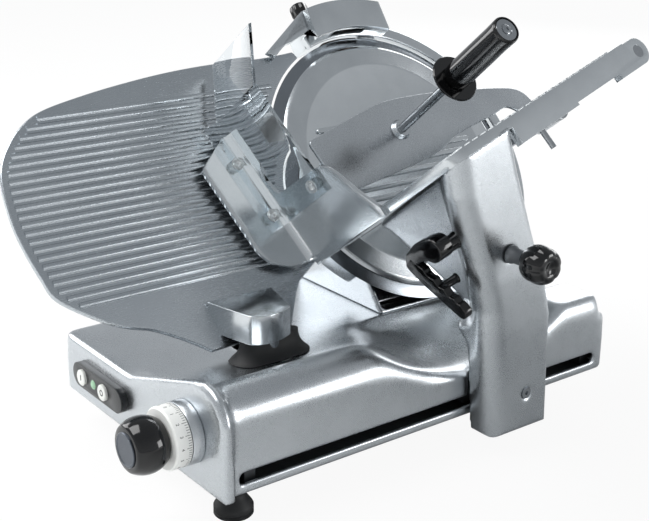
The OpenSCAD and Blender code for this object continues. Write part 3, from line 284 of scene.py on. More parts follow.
def ramp(value, start, length):
    """Rises from 0 at start to 1 after length, and stays there."""
    return min(max((value - start) / length, 0), 1)


def fluted(obj, inner, dent):
    """Six flutes round Z: corners further out than inner go in by dent(reach, wave)."""
    for corner in obj.data.vertices:
        reach = math.hypot(corner.co.x, corner.co.y)
        if reach > inner:
            wave = 0.5 * (1 + math.cos(math.atan2(corner.co.y, corner.co.x) * FLUTES))
            share = 1 - dent(reach, wave) / reach
            corner.co.x *= share
            corner.co.y *= share


def coated(obj, key):
    """Gives a piece one finish in place of what it had."""
    obj.data.materials.clear()
    obj.data.materials.append(FINISHES[key])


def dressed(obj, body, slot, key, *nodes, angle=40):
    """Gives a finished piece its shading and its finish, hangs it under its body and hides the CAD nodes that it
    stands for.
    """
    only(obj)
    bpy.ops.object.shade_smooth_by_angle(angle=math.radians(angle))
    coated(obj, key)
    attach(obj, body)
    if nodes:
        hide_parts(*nodes)
    return obj


def arc(centre, radius, start, stop, steps):
    """Points on an arc, angles in degrees."""
    return [(centre[0] + radius * math.cos(math.radians(start + (stop - start) * i / steps)),
             centre[1] + radius * math.sin(math.radians(start + (stop - start) * i / steps)))
            for i in range(steps + 1)]


def rounded_bar(length, width, steps=8):
    """Outline of a bar along X with round ends, centred."""
    half = length / 2 - width / 2
    return arc((half, 0), width / 2, -90, 90, steps) + arc((-half, 0), width / 2, 90, 270, steps)


def smooth_line(points, steps=6):
    """A smooth line through the points, with its ends kept."""
    line = []
    for i in range(len(points) - 1):
        a = Vector(points[max(i - 1, 0)])
        b = Vector(points[i])
        c = Vector(points[i + 1])
        d = Vector(points[min(i + 2, len(points) - 1)])
        for j in range(steps):
            t = j / steps
            line.append(0.5 * (2 * b + (c - a) * t + (2 * a - 5 * b + 4 * c - d) * t ** 2
                               + (3 * b - a - 3 * c + d) * t ** 3))
    line.append(Vector(points[-1]))
    return [tuple(p) for p in line]


# Finishes


def linear(hex_colour):
    """An sRGB hex colour as linear values."""
    parts = [int(hex_colour[i:i + 2], 16) / 255 for i in (1, 3, 5)]
    return tuple(c / 12.92 if c <= 0.04045 else ((c + 0.055) / 1.055) ** 2.4 for c in parts) + (1,)


def add_node(tree, kind, inputs=None, **attributes):
    """Adds one shader node with its settings and links."""
    made = tree.nodes.new(kind)
    for key, value in attributes.items():
        setattr(made, key, value)
    for key, value in (inputs or {}).items():
        if isinstance(value, bpy.types.NodeSocket):
            tree.links.new(value, made.inputs[key])
        else:
            made.inputs[key].default_value = value
    return made


def per_metre(size_mm):
    """Texture scale at which one feature is size_mm across."""
    return 1 / (size_mm * MM)


def finish(name, colour, dark, rough, metallic=0.0, grain=0.6, grain_depth=0.01, stretch=(1, 1, 1),
           turn=(0, 0, 0), patch=60, rough_play=0.08, **shader):
    """A procedural finish: a fine grain in the surface, and slow changes of tone and gloss over it.
    grain and patch are the sizes of those in millimetres, and grain_depth is how deep the grain is."""
    made = bpy.data.materials.new(name)
    made.use_nodes = True
    tree = made.node_tree
    tree.nodes.clear()
    place = add_node(tree, "ShaderNodeTexCoord")
    turned_place = add_node(tree, "ShaderNodeMapping", {"Vector": place.outputs["Object"], "Rotation": turn})
    stretched = add_node(tree, "ShaderNodeMapping", {"Vector": turned_place.outputs["Vector"], "Scale": stretch})
    fine = add_node(tree, "ShaderNodeTexNoise", {"Vector": stretched.outputs["Vector"],
                                                 "Scale": per_metre(grain), "Detail": 3.0, "Roughness": 0.6})
    slow = add_node(tree, "ShaderNodeTexNoise", {"Vector": place.outputs["Object"],
                                                 "Scale": per_metre(patch), "Detail": 4.0, "Roughness": 0.55})
    both = add_node(tree, "ShaderNodeMath", {0: fine.outputs["Fac"], 1: slow.outputs["Fac"]},
                    operation="MULTIPLY")
    tone = add_node(tree, "ShaderNodeMix", {0: slow.outputs["Fac"], 6: linear(dark), 7: linear(colour)},
                    data_type="RGBA")
    gloss = add_node(tree, "ShaderNodeMapRange", {"Value": both.outputs["Value"], "From Min": 0.1,
                                                  "From Max": 0.45, "To Min": rough - rough_play,
                                                  "To Max": rough + rough_play})
    bump = add_node(tree, "ShaderNodeBump", {"Height": fine.outputs["Fac"], "Strength": 1.0,
                                             "Distance": grain_depth * MM})
    surface = add_node(tree, "ShaderNodeBsdfPrincipled", {"Base Color": tone.outputs[2],
                                                          "Roughness": gloss.outputs["Result"],
                                                          "Metallic": metallic, "Normal": bump.outputs["Normal"]})
    for key, value in shader.items():
        surface.inputs[key.replace("_", " ")].default_value = value
    add_node(tree, "ShaderNodeOutputMaterial", {"Surface": surface.outputs["BSDF"]})
    made.diffuse_color = linear(colour)
    return made


FINISHES = {}


def make_finishes(sizes):
    """All the finishes of this object, each named for what the real one is made of."""
    blade_turn = (0, LEAN - math.pi / 2, 0)
    FINISHES.update({
        # Cast aluminium, bead blasted and clear anodised: soft, slightly grainy highlights.
        "cast": finish("blasted_anodised_aluminium", sizes.casting_hex, "#b0b4b8", 0.3, 1.0, grain=0.9,
                       grain_depth=0.02, patch=70),
        # The same alloy, linished by hand on the outside of the table and the fence.
        "polished": finish("satin_polished_aluminium", sizes.polished_hex, "#bbbfc2", 0.2, 1.0, grain=1.2,
                           grain_depth=0.006, stretch=(0.25, 1, 1), patch=45, rough_play=0.06),
        # The gauge plate is brushed along its ribs.
        "brushed": finish("brushed_aluminium", "#b6bbbf", "#a5abb0", 0.27, 1.0, grain=0.7,
                          grain_depth=0.004, stretch=(1, 0.05, 1), patch=90, rough_play=0.04),
        # Stainless steel, turned and ground on the blade.
        "blade": finish("ground_stainless_steel", "#8b9095", "#7b8085", 0.22, 1.0, grain=0.6,
                        grain_depth=0.01, turn=blade_turn, stretch=(0.4, 1, 1), patch=50),
        # Bright ground shafts and screws.
        "steel": finish("bright_ground_steel", "#a9acaf", "#909498", 0.22, 1.0, grain=0.4, grain_depth=0.005),
        # Grey iron and zinc inside the base.
        "iron": finish("machined_grey_iron", "#7b7e81", "#65686b", 0.5, 1.0, grain=1.0, grain_depth=0.03),
        # Sintered bronze bushes.
        "bronze": finish("sintered_bronze", "#b08a4c", "#8f6c38", 0.4, 1.0, grain=0.5, grain_depth=0.01),
        # Phenolic grips, moulded and buffed to a deep gloss.
        "black": finish("black_phenolic", "#070708", "#040405", 0.1, grain=2.5, grain_depth=0.004,
                        rough_play=0.03),
        # Moulded rubber, matte with a fine skin.
        "rubber": finish("black_rubber", "#121315", "#0b0c0d", 0.6, grain=0.7, grain_depth=0.04),
        # Dull moulded plastic round the push buttons.
        "panel": finish("dark_moulded_abs", "#16181b", "#0e1012", 0.3, grain=0.5, grain_depth=0.02),
        # Pale moulded plastic of the buttons and the dial.
        "pale": finish("pale_moulded_abs", "#e9e9e4", "#dedfda", 0.3, grain=0.8, grain_depth=0.01),
        "dial": finish("white_moulded_abs", "#f1f1ee", "#e6e6e2", 0.34, grain=0.8, grain_depth=0.01),
        # Printing ink of the scale and of the marks.
        "ink": finish("black_printing_ink", "#17181a", "#101112", 0.5, grain=0.5, grain_depth=0.004),
        # Green pilot lens.
        "lens": finish("green_lamp_lens", "#a9cfae", "#8fbb97", 0.12, grain=1.5, grain_depth=0.006),
        # Anodised disc in the end of the knob.
        "disc": finish("grey_anodised_disc", "#5c6168", "#4a4e55", 0.3, 1.0, grain=0.5, grain_depth=0.008),
        # Clear polycarbonate of the hand guard: a low index keeps the thin bent sheet clear, as it looks.
        "clear": finish("clear_polycarbonate", "#f6f9fb", "#eef4f7", 0.03, grain=6.0, grain_depth=0.001,
                        rough_play=0.01, Transmission_Weight=1.0, IOR=1.14),
        "clear_screw": finish("clear_nylon", "#f4f6f6", "#e6eaeb", 0.12, grain=0.8, grain_depth=0.01,
                              Transmission_Weight=0.85, IOR=1.35),
        # Painted motor housing, relay board and grinding stones inside.
        "paint": finish("grey_stove_enamel", "#5a5e62", "#4b4f53", 0.4, grain=0.8, grain_depth=0.02),
        "board": finish("green_circuit_board", "#2f6a44", "#245437", 0.45, grain=0.8, grain_depth=0.01),
        "stone": finish("corundum_stone", "#8d5a3c", "#6f452d", 0.85, grain=0.5, grain_depth=0.08),
    })


class SlicerSizes(bpy.types.PropertyGroup):
    """Sizes and colours that a user would change."""

    casting_hex: bpy.props.StringProperty(
        name="Casting colour", description="Colour of the blasted castings, as sRGB hex", default="#c4c8cb")
    polished_hex: bpy.props.StringProperty(
        name="Polished colour", description="Colour of the polished aluminium, as sRGB hex", default="#cdd1d3")
    casting_step: bpy.props.FloatProperty(
        name="Casting step", description="Mesh step of the base casting, in millimetres",
        default=2.7, min=2.2, max=6)
    edge_round: bpy.props.FloatProperty(
        name="Edge rounding", description="Rounding of worked edges, in millimetres", default=1.0, min=0.2, max=3)
    dial_marks: bpy.props.IntProperty(
        name="Dial marks", description="Number of marks round the dial", default=80, min=20, max=120)
    rib_height: bpy.props.FloatProperty(
        name="Rib height", description="Height of the gauge plate's ribs, in millimetres",
        default=RIB_H, min=0.5, max=RIB_H)


class SlicerPiece:
    """What every operator below shares."""

    bl_options = {"REGISTER", "UNDO"}

    def execute(self, context):
        self.make(context.scene.slicer_sizes)
        return {"FINISHED"}


class SLICER_OT_finishes(SlicerPiece, bpy.types.Operator):
    """Makes the finishes and gives them to the nodes that keep their CAD shape"""

    bl_idname = "slicer.finishes"
    bl_label = "Finishes"

    def make(self, sizes):
        make_finishes(sizes)
        kept = {
            "iron": ("bottom_plate", "guide_bar_blocks", "roller_strip", "gauge_bar_blocks", "belt_tensioner",
                     "blade_pulley", "motor_pulley", "carriage_slider", "gauge_carrier"),
            "steel": ("guide_bar", "gauge_guide_bar", "bearings", "cover_tie_rod", "knob_shaft", "blade_shaft",
                      "column_screw", "table_stud", "pusher_rod", "pusher_shaft"),
            "bronze": ("slider_bushes",),
            "rubber": ("drive_belt", "carriage_roller"),
            "paint": ("motor",),
            "board": ("control_board",),
            "stone": ("grinding_stones",),
            "lens": ("indicator_lamp",),
            "black": ("cover_knob",),
        }
        for key, nodes in kept.items():
            for name in nodes:
                coated(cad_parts[name], key)


class SLICER_OT_base(SlicerPiece, bpy.types.Operator):
    """Makes the base casting with its soft edges and fillets"""

    bl_idname = "slicer.base"
    bl_label = "Base"

    def make(self, sizes):
        body = copied("base_casting", "base_housing")
        # The upright edge at the left of the front panel.
        bevel_edges(body, lambda a, b: max(a.x, b.x) < -0.1545 and max(a.y, b.y) < -0.2585, 16)
        remeshed(body, sizes.casting_step)
        smoothed(body, 3)
        # The deck and the rail housing are softer than the walls, and the saddle between them is softer still.
        smoothed_where(body, 34, lambda x, y, z: ramp(z, 74, 16))
        smoothed_where(body, 110, lambda x, y, z: x > 10 and ramp(z, 84, 8) * ramp(y, -95, 30) * ramp(-y, -190, 40))
        dressed(body, "frame", "cast_aluminium", "cast", "base_casting", angle=60)


class SLICER_OT_feet(SlicerPiece, bpy.types.Operator):
    """Makes the four rubber feet with their rings"""

    bl_idname = "slicer.feet"
    bl_label = "Feet"

    def make(self, sizes):
        profile = [(0, 0), (15, 0), (15.6, 0.8), (18, 0.8), (19, 2), (19, 4.2), (18.2, 4.8), (18.2, 5.6),
                   (19, 6.2), (19, 10), (18, 12), (14, 17.5), (11.6, 20.5), (11, 23), (11, 33), (11.4, 33.8),
                   (14.6, 34.2), (15, 35), (15, 39), (0, 39)]
        feet = []
        for x, y in ((116.967, -222.048), (-111.748, -185.04), (-111.748, 214.852), (62.935, 214.852)):
            feet.append(moved(turned("foot", profile, steps=64), (x, y, 0)))
        dressed(placed(joined(feet, "rubber_feet")), "frame", "black_rubber", "rubber", "feet")


def front_frame(x, y, z):
    """Frame of something on the front face: X to the right, Y up, Z towards the operator."""
    return frame_of(X_AXIS, Z_AXIS, -Y_AXIS, (x, y, z))


class SLICER_OT_controls(SlicerPiece, bpy.types.Operator):
    """Makes the switch plate, its lamp, its push buttons and their marks"""

    bl_idname = "slicer.controls"
    bl_label = "Switch plate"

    def make(self, sizes):
        plate = copied("switch_plate", "switch_panel")
        soften(plate, 2.2 * MM, 4)
        dressed(plate, "frame", "black_plastic", "panel", "switch_plate")
        lamp = turned("pilot_lens", [(0, 2), (2.4, 1.7), (4.2, 0.9), (5, 0), (0, 0)], steps=40)
        dressed(placed(lamp, front_frame(LAMP_X, SWITCH_FRONT, SWITCH_Z)), "frame", "lamp_lens", "lens",
                "indicator_lamp")
        for name, node, body, x in (("start_push", "start_button", "start", -95),
                                    ("stop_push", "stop_button", "stop", -50)):
            here = front_frame(x, SWITCH_FRONT, SWITCH_Z)
            push = turned(name, [(0, 2.4), (4, 2.5), (6.6, 3), (7.8, 2.8), (8.5, 2.1), (8.5, -4.7), (0, -4.7)],
                          steps=64)
            dressed(placed(push, here), body, "pale_button", "pale", node)
            if body == "start":
                mark = moved(pushed(name + "_mark", rounded_bar(6.4, 1.5, 4), 0.25, 2.35), turn=(0, 0, math.pi / 2))
            else:
                mark = turned(name + "_mark", [(2.2, 2.3), (3.4, 2.3), (3.4, 2.6), (2.2, 2.6)], steps=40,
                              closed=True)
            dressed(placed(mark, here), body, "black_plastic", "ink")


class SLICER_OT_dial(SlicerPiece, bpy.types.Operator):
    """Makes the collar, the numbered dial and the thickness knob"""

    bl_idname = "slicer.dial"
    bl_label = "Dial and knob"

    def make(self, sizes):
        here = front_frame(KNOB_AT.x, 0, KNOB_AT.z)
        collar = turned("dial_seat", [(6.1, 259), (29.7, 259), (30.5, 259.8), (30.5, 270), (29.7, 271), (6.1, 271)],
                        closed=True)
        dressed(placed(collar, here), "frame", "machined_aluminium", "cast", "dial_collar")
        front = -DIAL_BACK + DIAL_L
        ring = turned("dial_drum", [(6.05, 271.5), (29.2, 271.5), (30, 272.3), (30, 286.2), (28.4, 288),
                                    (6.05, front)], closed=True)
        dressed(placed(ring, here), "dial", "white_dial", "dial", "dial_ring")
        marks = []
        for i in range(sizes.dial_marks):
            length = 3.2 if i % NUMBER_STEP else 5.4
            mark = pushed("mark", [(DIAL_R - 0.1, -0.22), (DIAL_R + 0.04, -0.22), (DIAL_R + 0.04, 0.22),
                                   (DIAL_R - 0.1, 0.22)], length, 272.6)
            marks.append(moved(mark, turn=(0, 0, math.pi / 2 - TURN * i / sizes.dial_marks)))
        for i in range(0, sizes.dial_marks, NUMBER_STEP):
            turn = math.pi / 2 - TURN * i / sizes.dial_marks
            number = fresh("number", bpy.ops.object.text_add)
            number.data.body = str(i // NUMBER_STEP)
            number.data.size = 4.6
            number.data.align_x = "CENTER"
            number.data.extrude = 0.06
            bpy.ops.object.convert(target="MESH")
            out = Vector((math.cos(turn), math.sin(turn), 0))
            side = Vector((math.sin(turn), -math.cos(turn), 0))
            upright = Matrix((side, -Z_AXIS, out)).transposed().to_4x4()
            marks.append(placed(number, Matrix.Translation(out * DIAL_R + Vector((0, 0, 283.4))) @ upright))
        dressed(placed(joined(marks, "dial_scale"), here), "dial", "black_plastic", "ink")
        middle = front + KNOB_L / 2
        half = KNOB_L / 2
        ball = []
        low = math.asin(-half / KNOB_R)
        high = math.asin((half - DISC_T) / KNOB_R)
        for i in range(25):
            a = low + (high - low) * i / 24
            ball.append((KNOB_R * math.cos(a), middle + KNOB_R * math.sin(a)))
        (low_r, _), (top_r, top) = ball[0], ball[-1]
        ball = ([(6.2, front), (low_r - 1.4, front)] + ball[1:-1]
                + [(top_r - 0.8, top + 0.05), (DISC_R, top - 0.2), (0, top - 0.2)])
        knob = turned("knob_ball", ball, steps=128)
        dressed(placed(knob, here), "dial", "black_plastic", "black", "thickness_knob", angle=50)
        tip = front + KNOB_L
        disc = turned("knob_disc", [(0, tip - 2), (DISC_R, tip - 2), (DISC_R, tip - 0.6), (DISC_R - 0.6, tip),
                                    (14.4, tip), (14, tip - 0.35), (0, tip - 0.35)])
        dressed(placed(disc, here), "dial", "dark_cap", "disc", "knob_cap")


GAUGE_SHARE = (
    (-0.1775, 0.33), (-0.2748, 0.3235), (-0.4165, 0.3235), (-0.5328, 0.3171), (-0.6448, 0.3044), (-0.7526, 0.2875),
    (-0.8584, 0.2643), (-0.9154, 0.2347), (-0.9556, 0.1966), (-0.9831, 0.1564), (-0.9958, 0.1121), (-1, 0.0338),
    (-0.9937, -0.0275), (-0.9789, -0.0951), (-0.9598, -0.148), (-0.8837, -0.2093), (-0.8309, -0.2368),
    (-0.7822, -0.2537), (-0.7336, -0.2812), (-0.6934, -0.3087), (-0.666, -0.3298))
GAUGE_FOOT_SHARE = ((-0.4609, -0.3235), (-0.4165, -0.2516), (-0.3975, -0.2283), (-0.3658, -0.2093))


def gauge_edge():
    """The smooth outline of the gauge plate, with the hollow that clears the guard ring."""
    near = smooth_line([(x * GAUGE_REACH, y * GAUGE_REACH) for x, y in GAUGE_SHARE])
    far = [(x * GAUGE_REACH, y * GAUGE_REACH) for x, y in GAUGE_FOOT_SHARE]
    top = math.degrees(math.atan2(near[0][1], near[0][0]))
    foot = math.degrees(math.atan2(far[-1][1], far[-1][0])) % 360
    hollow = arc((0, 0), RING_IN, foot, top, 40)
    return [(max(x, -GAUGE_REACH), y) for x, y in near] + far + hollow


def crossings(edge, height):
    """Where a closed outline crosses a level line."""
    found = []
    for a, b in zip(edge, edge[1:] + edge[:1]):
        if (a[1] - height) * (b[1] - height) < 0:
            found.append(a[0] + (b[0] - a[0]) * (height - a[1]) / (b[1] - a[1]))
    return sorted(found)


class SLICER_OT_gauge(SlicerPiece, bpy.types.Operator):
    """Makes the gauge plate with its round edge and its ribs"""

    bl_idname = "slicer.gauge"
    bl_label = "Gauge plate"

    def make(self, sizes):
        edge = gauge_edge()
        plate = pushed("plate", edge, GAUGE_T, GAUGE_TOP - GAUGE_T)
        soften(plate, 1.6, 3)
        middle = Vector((-0.64 * GAUGE_REACH, 0))
        inner = [tuple(middle + (Vector(p) - middle) * 0.982) for p in edge]
        pieces = [plate]
        pitch, first, ribs = 8.95, 117.3, 23
        section = [(4.1, 0), (3.3, 0.35), (2.5, 0.95), (1.7, 1.5), (0.9, 1.82), (0, 1.9)]
        section = section + [(-across, rise) for across, rise in reversed(section[:-1])]
        for i in range(ribs):
            height = first - pitch * i
            found = crossings(inner, height)
            if len(found) < 2:
                continue
            left, right = found[0], min(found[-1], -math.sqrt(max((RING_IN + 5) ** 2 - height ** 2, 0)))
            rib = pushed("rib", [(across, rise * sizes.rib_height / RIB_H - 0.4) for across, rise in section],
                         right - left - 8, 4)
            for corner in rib.data.vertices:
                run = corner.co.z
                corner.co = Vector((left + run, height - corner.co.x, GAUGE_TOP + corner.co.y))
            pieces.append(tidy_mesh(rib))
        dressed(placed(joined(pieces, "gauge_face"), BLADE_FRAME), "gauge", "polished_aluminium",
                "brushed", "gauge_plate")


def cut_at_gauge(obj):
    """Cuts a piece off a millimetre below the gauge plate's face, and keeps what is in front of it."""
    begin(obj)
    bpy.ops.mesh.bisect(plane_co=BLADE_CENTRE * MM + FACE_OUT * (GAUGE_TOP - 1) * MM, plane_no=FACE_OUT,
                        use_fill=True, clear_inner=True)
    bpy.ops.mesh.normals_make_consistent(inside=False)
    end()


class SLICER_OT_support(SlicerPiece, bpy.types.Operator):
    """Makes the polished block that carries the gauge plate, its post and its bellows"""

    bl_idname = "slicer.support"
    bl_label = "Gauge support"

    def make(self, sizes):
        section = ([(-17.5, -163.5), (12, -157.5), (37.5, -151.5)]
                   + smooth_line([(41.5, -149.5), (47, -141), (48.5, -128), (46, -114), (40, -101)], 8)
                   + [(-14.9, -86.4)])
        block = pushed("gauge_block", section, 31, 126)
        placed(block)
        cut_at_gauge(block)
        soften(block, 1.3 * MM, 4, 30)
        dressed(block, "gauge", "polished_aluminium", "polished", "gauge_support")
        post = turned("gauge_post", [(0, 92), (11, 92), (11, 127), (0, 127)])
        post.location = (26, -117.5, 0)
        dressed(placed(post), "gauge", "ground_steel", "steel")
        low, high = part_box("gauge_bellows")
        low, high = low / MM, high / MM
        middle = ((low.x + high.x) / 2, (low.y + high.y) / 2)
        width, length = high.x - low.x, high.y - low.y
        rings = [(0, 0.9), (-0.8, 1.3), (-4, 4.2), (-7.2, 7.8), (-9.6, 12), (-11, 17), (-11.6, high.z - low.z)]
        across = rounded_bar(length, width, 24)
        folds = outline("gauge_boot", [(p[1], p[0], 0) for p in across])
        begin(folds)
        grown, height = 0, 0
        for grow, rise in rings:
            scale_x = (width + 2 * grow) / (width + 2 * grown)
            scale_y = (length + 2 * grow) / (length + 2 * grown)
            bpy.ops.mesh.extrude_region_move(TRANSFORM_OT_translate={"value": (0, 0, rise - height)})
            bpy.ops.transform.resize(value=(scale_x, scale_y, 1), center_override=(0, 0, 0))
            grown, height = grow, rise
        end()
        tidy_mesh(folds)
        folds.location = (middle[0], middle[1], low.z)
        placed(folds)
        cut_at_gauge(folds)
        dressed(folds, "gauge", "black_rubber", "rubber", "gauge_bellows", angle=70)


class SLICER_OT_head(SlicerPiece, bpy.types.Operator):
    """Makes the head casting, the blade's guard ring and the slice deflector"""

    bl_idname = "slicer.head"
    bl_label = "Head and guard ring"

    def make(self, sizes):
        head = smoothed(remeshed(copied("head_casting", "head_housing"), FINE_STEP), 5)
        dressed(head, "frame", "cast_aluminium", "cast", "head_casting", angle=60)
        ring = arc((0, 0), RING_OUT - 0.2, -42, 110, 96) + arc((0, 0), RING_IN, 110, -42, 96)
        guard = pushed("ring_guard", ring, 9, -9)
        soften(guard, 2.0, 4)
        dressed(placed(guard, BLADE_FRAME), "frame", "polished_aluminium", "polished", "blade_ring")
        guide = copied("slice_deflector", "slice_guide")
        soften(guide, 0.8 * MM, 2)
        dressed(guide, "frame", "polished_aluminium", "polished", "slice_deflector")


class SLICER_OT_blade(SlicerPiece, bpy.types.Operator):
    """Makes the ground blade and the ribbed cover in front of it"""

    bl_idname = "slicer.blade"
    bl_label = "Blade and cover"

    def make(self, sizes):
        disc = turned("blade_disc", [(40, -5), (BLADE_R - 0.8, -5), (BLADE_R, -4.2), (152.4, -0.1), (151.6, 0),
                                     (60, 0), (40, 0)], steps=256, closed=True)
        dressed(placed(disc, BLADE_FRAME), "blade_rotor", "blade_steel", "blade", "blade", angle=12)
        top = COVER_LIFT + COVER_T
        plate = turned("plate", [(0, COVER_LIFT), (COVER_R - 1, COVER_LIFT), (COVER_R, COVER_LIFT + 0.9),
                                 (COVER_R - 2, COVER_LIFT + 2.4), (COVER_R - 4, top - 0.8), (COVER_R - 6, top),
                                 (128, top), (127, top + 0.5), (124.5, top + 0.5), (123.5, top), (0, top)],
                       steps=256)
        pieces = [plate]
        pitch, width, reach, side_ribs = 13, 6.4, 112, 4
        for i in range(-side_ribs, side_ribs + 1):
            height = pitch * i
            half = math.sqrt(reach ** 2 - height ** 2)
            rib = pushed("rib", rounded_bar(2 * half, width, 6), 2.2, top - 0.4)
            pieces.append(moved(soften(rib, 1.7, 4, 50), (0, height, 0)))
        dressed(placed(joined(pieces, "cover_disc"), BLADE_FRAME), "frame", "polished_aluminium",
                "polished", "blade_cover", angle=30)


class SLICER_OT_sharpener(SlicerPiece, bpy.types.Operator):
    """Makes the sharpener's housing, the wing beside it and its knob"""

    bl_idname = "slicer.sharpener"
    bl_label = "Sharpener"

    def make(self, sizes):
        housing = copied("sharpener_housing", "sharpener_case")
        soften(housing, 3.0 * MM, 4, 30)
        wing = pushed("sharpener_wing", [(-125, 155), (-56, 202), (-50, 204), (-50, 181)]
                      + arc((0, 0), 188, 106, 127.5, 14), 6)
        soften(wing, 1.6, 3)
        dressed(placed(wing, BLADE_FRAME), "frame", "polished_aluminium", "polished")
        dressed(housing, "frame", "polished_aluminium", "polished", "sharpener_housing")
        here = frame_of(ALONG, -FACE_OUT, FACE_UP, BLADE_CENTRE + ALONG * -36 + FACE_OUT * -22)
        low, high = 208.5, 224.5
        knob = turned("sharpener_grip", [(0, low - 16), (5, low - 16), (5, low), (9.4, low), (10.4, low + 1),
                               (11, low + 3), (11, high - 4), (9.8, high - 1.2), (7.6, high), (0, high)], steps=96)
        fluted(knob, 8, lambda reach, wave: 1.6 * wave)
        dressed(placed(knob, here), "sharpener_dial", "black_plastic",
                "black", "sharpener_knob")


# How far the column's front and rear faces stand at rising heights, and the radii of its edges.
COLUMN_FRONT = ((23.9, 42.8), (131.2, 32.5), (162.1, 29.9), (218.1, 12.6), (285.1, -12.9), (360.1, -28.3))
COLUMN_REAR = ((23.9, 123.6), (147.9, 118.8), (184.9, 108.5), (224.9, 91.4), (303.1, 63.1), (360.1, 46.4))
COLUMN_FRONT_R, COLUMN_REAR_R, COLUMN_FOOT_R = 21, 9, 6
# Where the wing starts, and how far it steps back.
WING_X, WING_Z, WING_STEP = 168, 140, 11
# The outer side leans in by this share above this height.
TAPER_FROM, TAPER = 195, 0.03


def between(table, value):
    """Reads a table of rising values, with straight lines between them."""
    for (a, u), (b, v) in zip(table, table[1:]):
        if value <= b:
            return u + (v - u) * (value - a) / (b - a)
    return table[-1][1]


def rounded_off(a, b, radius):
    """Two depths below two faces, moved so that the edge between the faces has this radius."""
    if a >= radius or b >= radius:
        return a, b
    reach = math.hypot(radius - a, radius - b)
    if reach <= radius:
        return a, b
    return radius - (radius - a) * radius / reach, radius - (radius - b) * radius / reach


class SLICER_OT_column(SlicerPiece, bpy.types.Operator):
    """Makes the cast column that carries the table"""

    bl_idname = "slicer.column"
    bl_label = "Column"

    def make(self, sizes):
        column = copied("column", "carriage_arm")
        remeshed(column, FINE_STEP)
        for corner in column.data.vertices:
            x, y, z = corner.co / MM
            front, rear = between(COLUMN_FRONT, z), between(COLUMN_REAR, z)
            # The wing stands a little behind the column's front.
            if x < WING_X and z > WING_Z:
                step = ramp(-x, -WING_X, 20)
                step = step * step * (3 - 2 * step) * ramp(z, WING_Z, 25)
                y += WING_STEP * step * max(1 - (y - front) / 24, 0)
            depth = y - front
            side, low = ARM_OUT_X - x, z - COLUMN_FRONT[0][0]
            side, depth = rounded_off(side, depth, COLUMN_FRONT_R)
            side, back = rounded_off(side, rear - y, COLUMN_REAR_R)
            if back != rear - y:
                depth = rear - back - front
            side, low = rounded_off(side, low, COLUMN_FOOT_R)
            depth, low = rounded_off(depth, low, COLUMN_FOOT_R)
            side += max(z - TAPER_FROM, 0) * TAPER
            corner.co = Vector((ARM_OUT_X - side, front + depth, COLUMN_FRONT[0][0] + low)) * MM
        smoothed(column, 6)
        dressed(column, "carriage", "cast_aluminium", "cast", "column", angle=60)


class SLICER_OT_lock(SlicerPiece, bpy.types.Operator):
    """Makes the lobed lock knob on the column"""

    bl_idname = "slicer.lock"
    bl_label = "Lock knob"

    def make(self, sizes):
        here = frame_of(Y_AXIS, Z_AXIS, X_AXIS, (ARM_OUT_X, LOCK_AT.y, LOCK_AT.z))
        stem = turned("lock_stem", [(0, -19.5), (6, -19.5), (6, 0), (8.6, 0), (9.2, 0.6), (9.2, 3), (8.4, 4.6),
                               (7.6, 6), (7.6, 20), (9.6, 23), (9.6, 25), (0, 25)], steps=64)
        dressed(placed(stem, here), "lock", "ground_steel", "iron")
        middle = LOCK_STEM + LOCK_L / 2
        rows = 22
        low, high = math.asin(-LOCK_L / 2 / LOCK_R), math.asin(LOCK_L / 2 / LOCK_R)
        profile = [(0, LOCK_STEM)]
        for i in range(rows + 1):
            a = low + (high - low) * i / rows
            profile.append((19.2 * math.cos(a) ** 0.7, middle + LOCK_R * math.sin(a)))
        profile.append((6.5, LOCK_STEM + LOCK_L))
        profile.append((5.8, LOCK_STEM + LOCK_L - 1))
        profile.append((0, LOCK_STEM + LOCK_L - 1))
        ball = turned("lock_ball", profile, steps=144)
        fluted(ball, 9, lambda reach, wave: 1.2 * wave ** 3 * ramp(reach, 9, 6))
        dressed(placed(ball, here), "lock", "black_plastic", "black",
                "lock_knob", angle=60)


HANDLE_BLOCK = ((112, 50), (114, 62), (121, 70), (133, 82), (149, 91), (160, 94.5), (169, 91), (172, 82), (168, 74),
                (159, 68), (148, 67), (137, 62), (129, 53), (121, 46))
HANDLE_BAR = ((112, 51), (117, 45.5), (135, 35), (152, 27), (170, 18.5), (180, 14), (186, 13.6), (190, 18),
              (189.6, 24), (184, 29), (180, 29.8), (176.5, 33.4), (171, 33.6), (167, 36.4), (163.8, 40.4), (158, 40.6),
              (154, 43.4),
              (151, 47.2), (145.5, 47.6), (141, 50.4), (138, 54.5), (132, 56.5), (122, 62))


class SLICER_OT_handle(SlicerPiece, bpy.types.Operator):
    """Makes the black pull handle on the column"""

    bl_idname = "slicer.handle"
    bl_label = "Pull handle"

    def make(self, sizes):
        turn = Matrix.Rotation(math.radians(17.1), 4, "X") @ Matrix.Rotation(math.pi / 2, 4, "X")
        here = Matrix.Translation(Vector((0, 29.9, 162)) * MM) @ turn @ Matrix.Scale(MM, 4)
        pieces = []
        for points, depth, start, edge in ((HANDLE_BLOCK, 17, 12.5, 4.5), (HANDLE_BAR, 9, 20.5, 3)):
            grip = pushed("grip", smooth_line(list(points) + [points[0]], 4)[:-1], depth, start)
            soften(grip, edge, 5, 50)
            pieces.append(grip)
        for x, y, r in ((161, 80, 8), (150, 33, 4.5)):
            leg = turned("leg", [(0, 0), (r + 1, 0), (r + 0.4, 1.5), (r, 4), (r, 22), (0, 22)], steps=48)
            pieces.append(moved(leg, (x, y, 0)))
        dressed(placed(joined(pieces, "handle_grip"), here), "carriage", "black_plastic", "black",
                "pull_handle", angle=50)


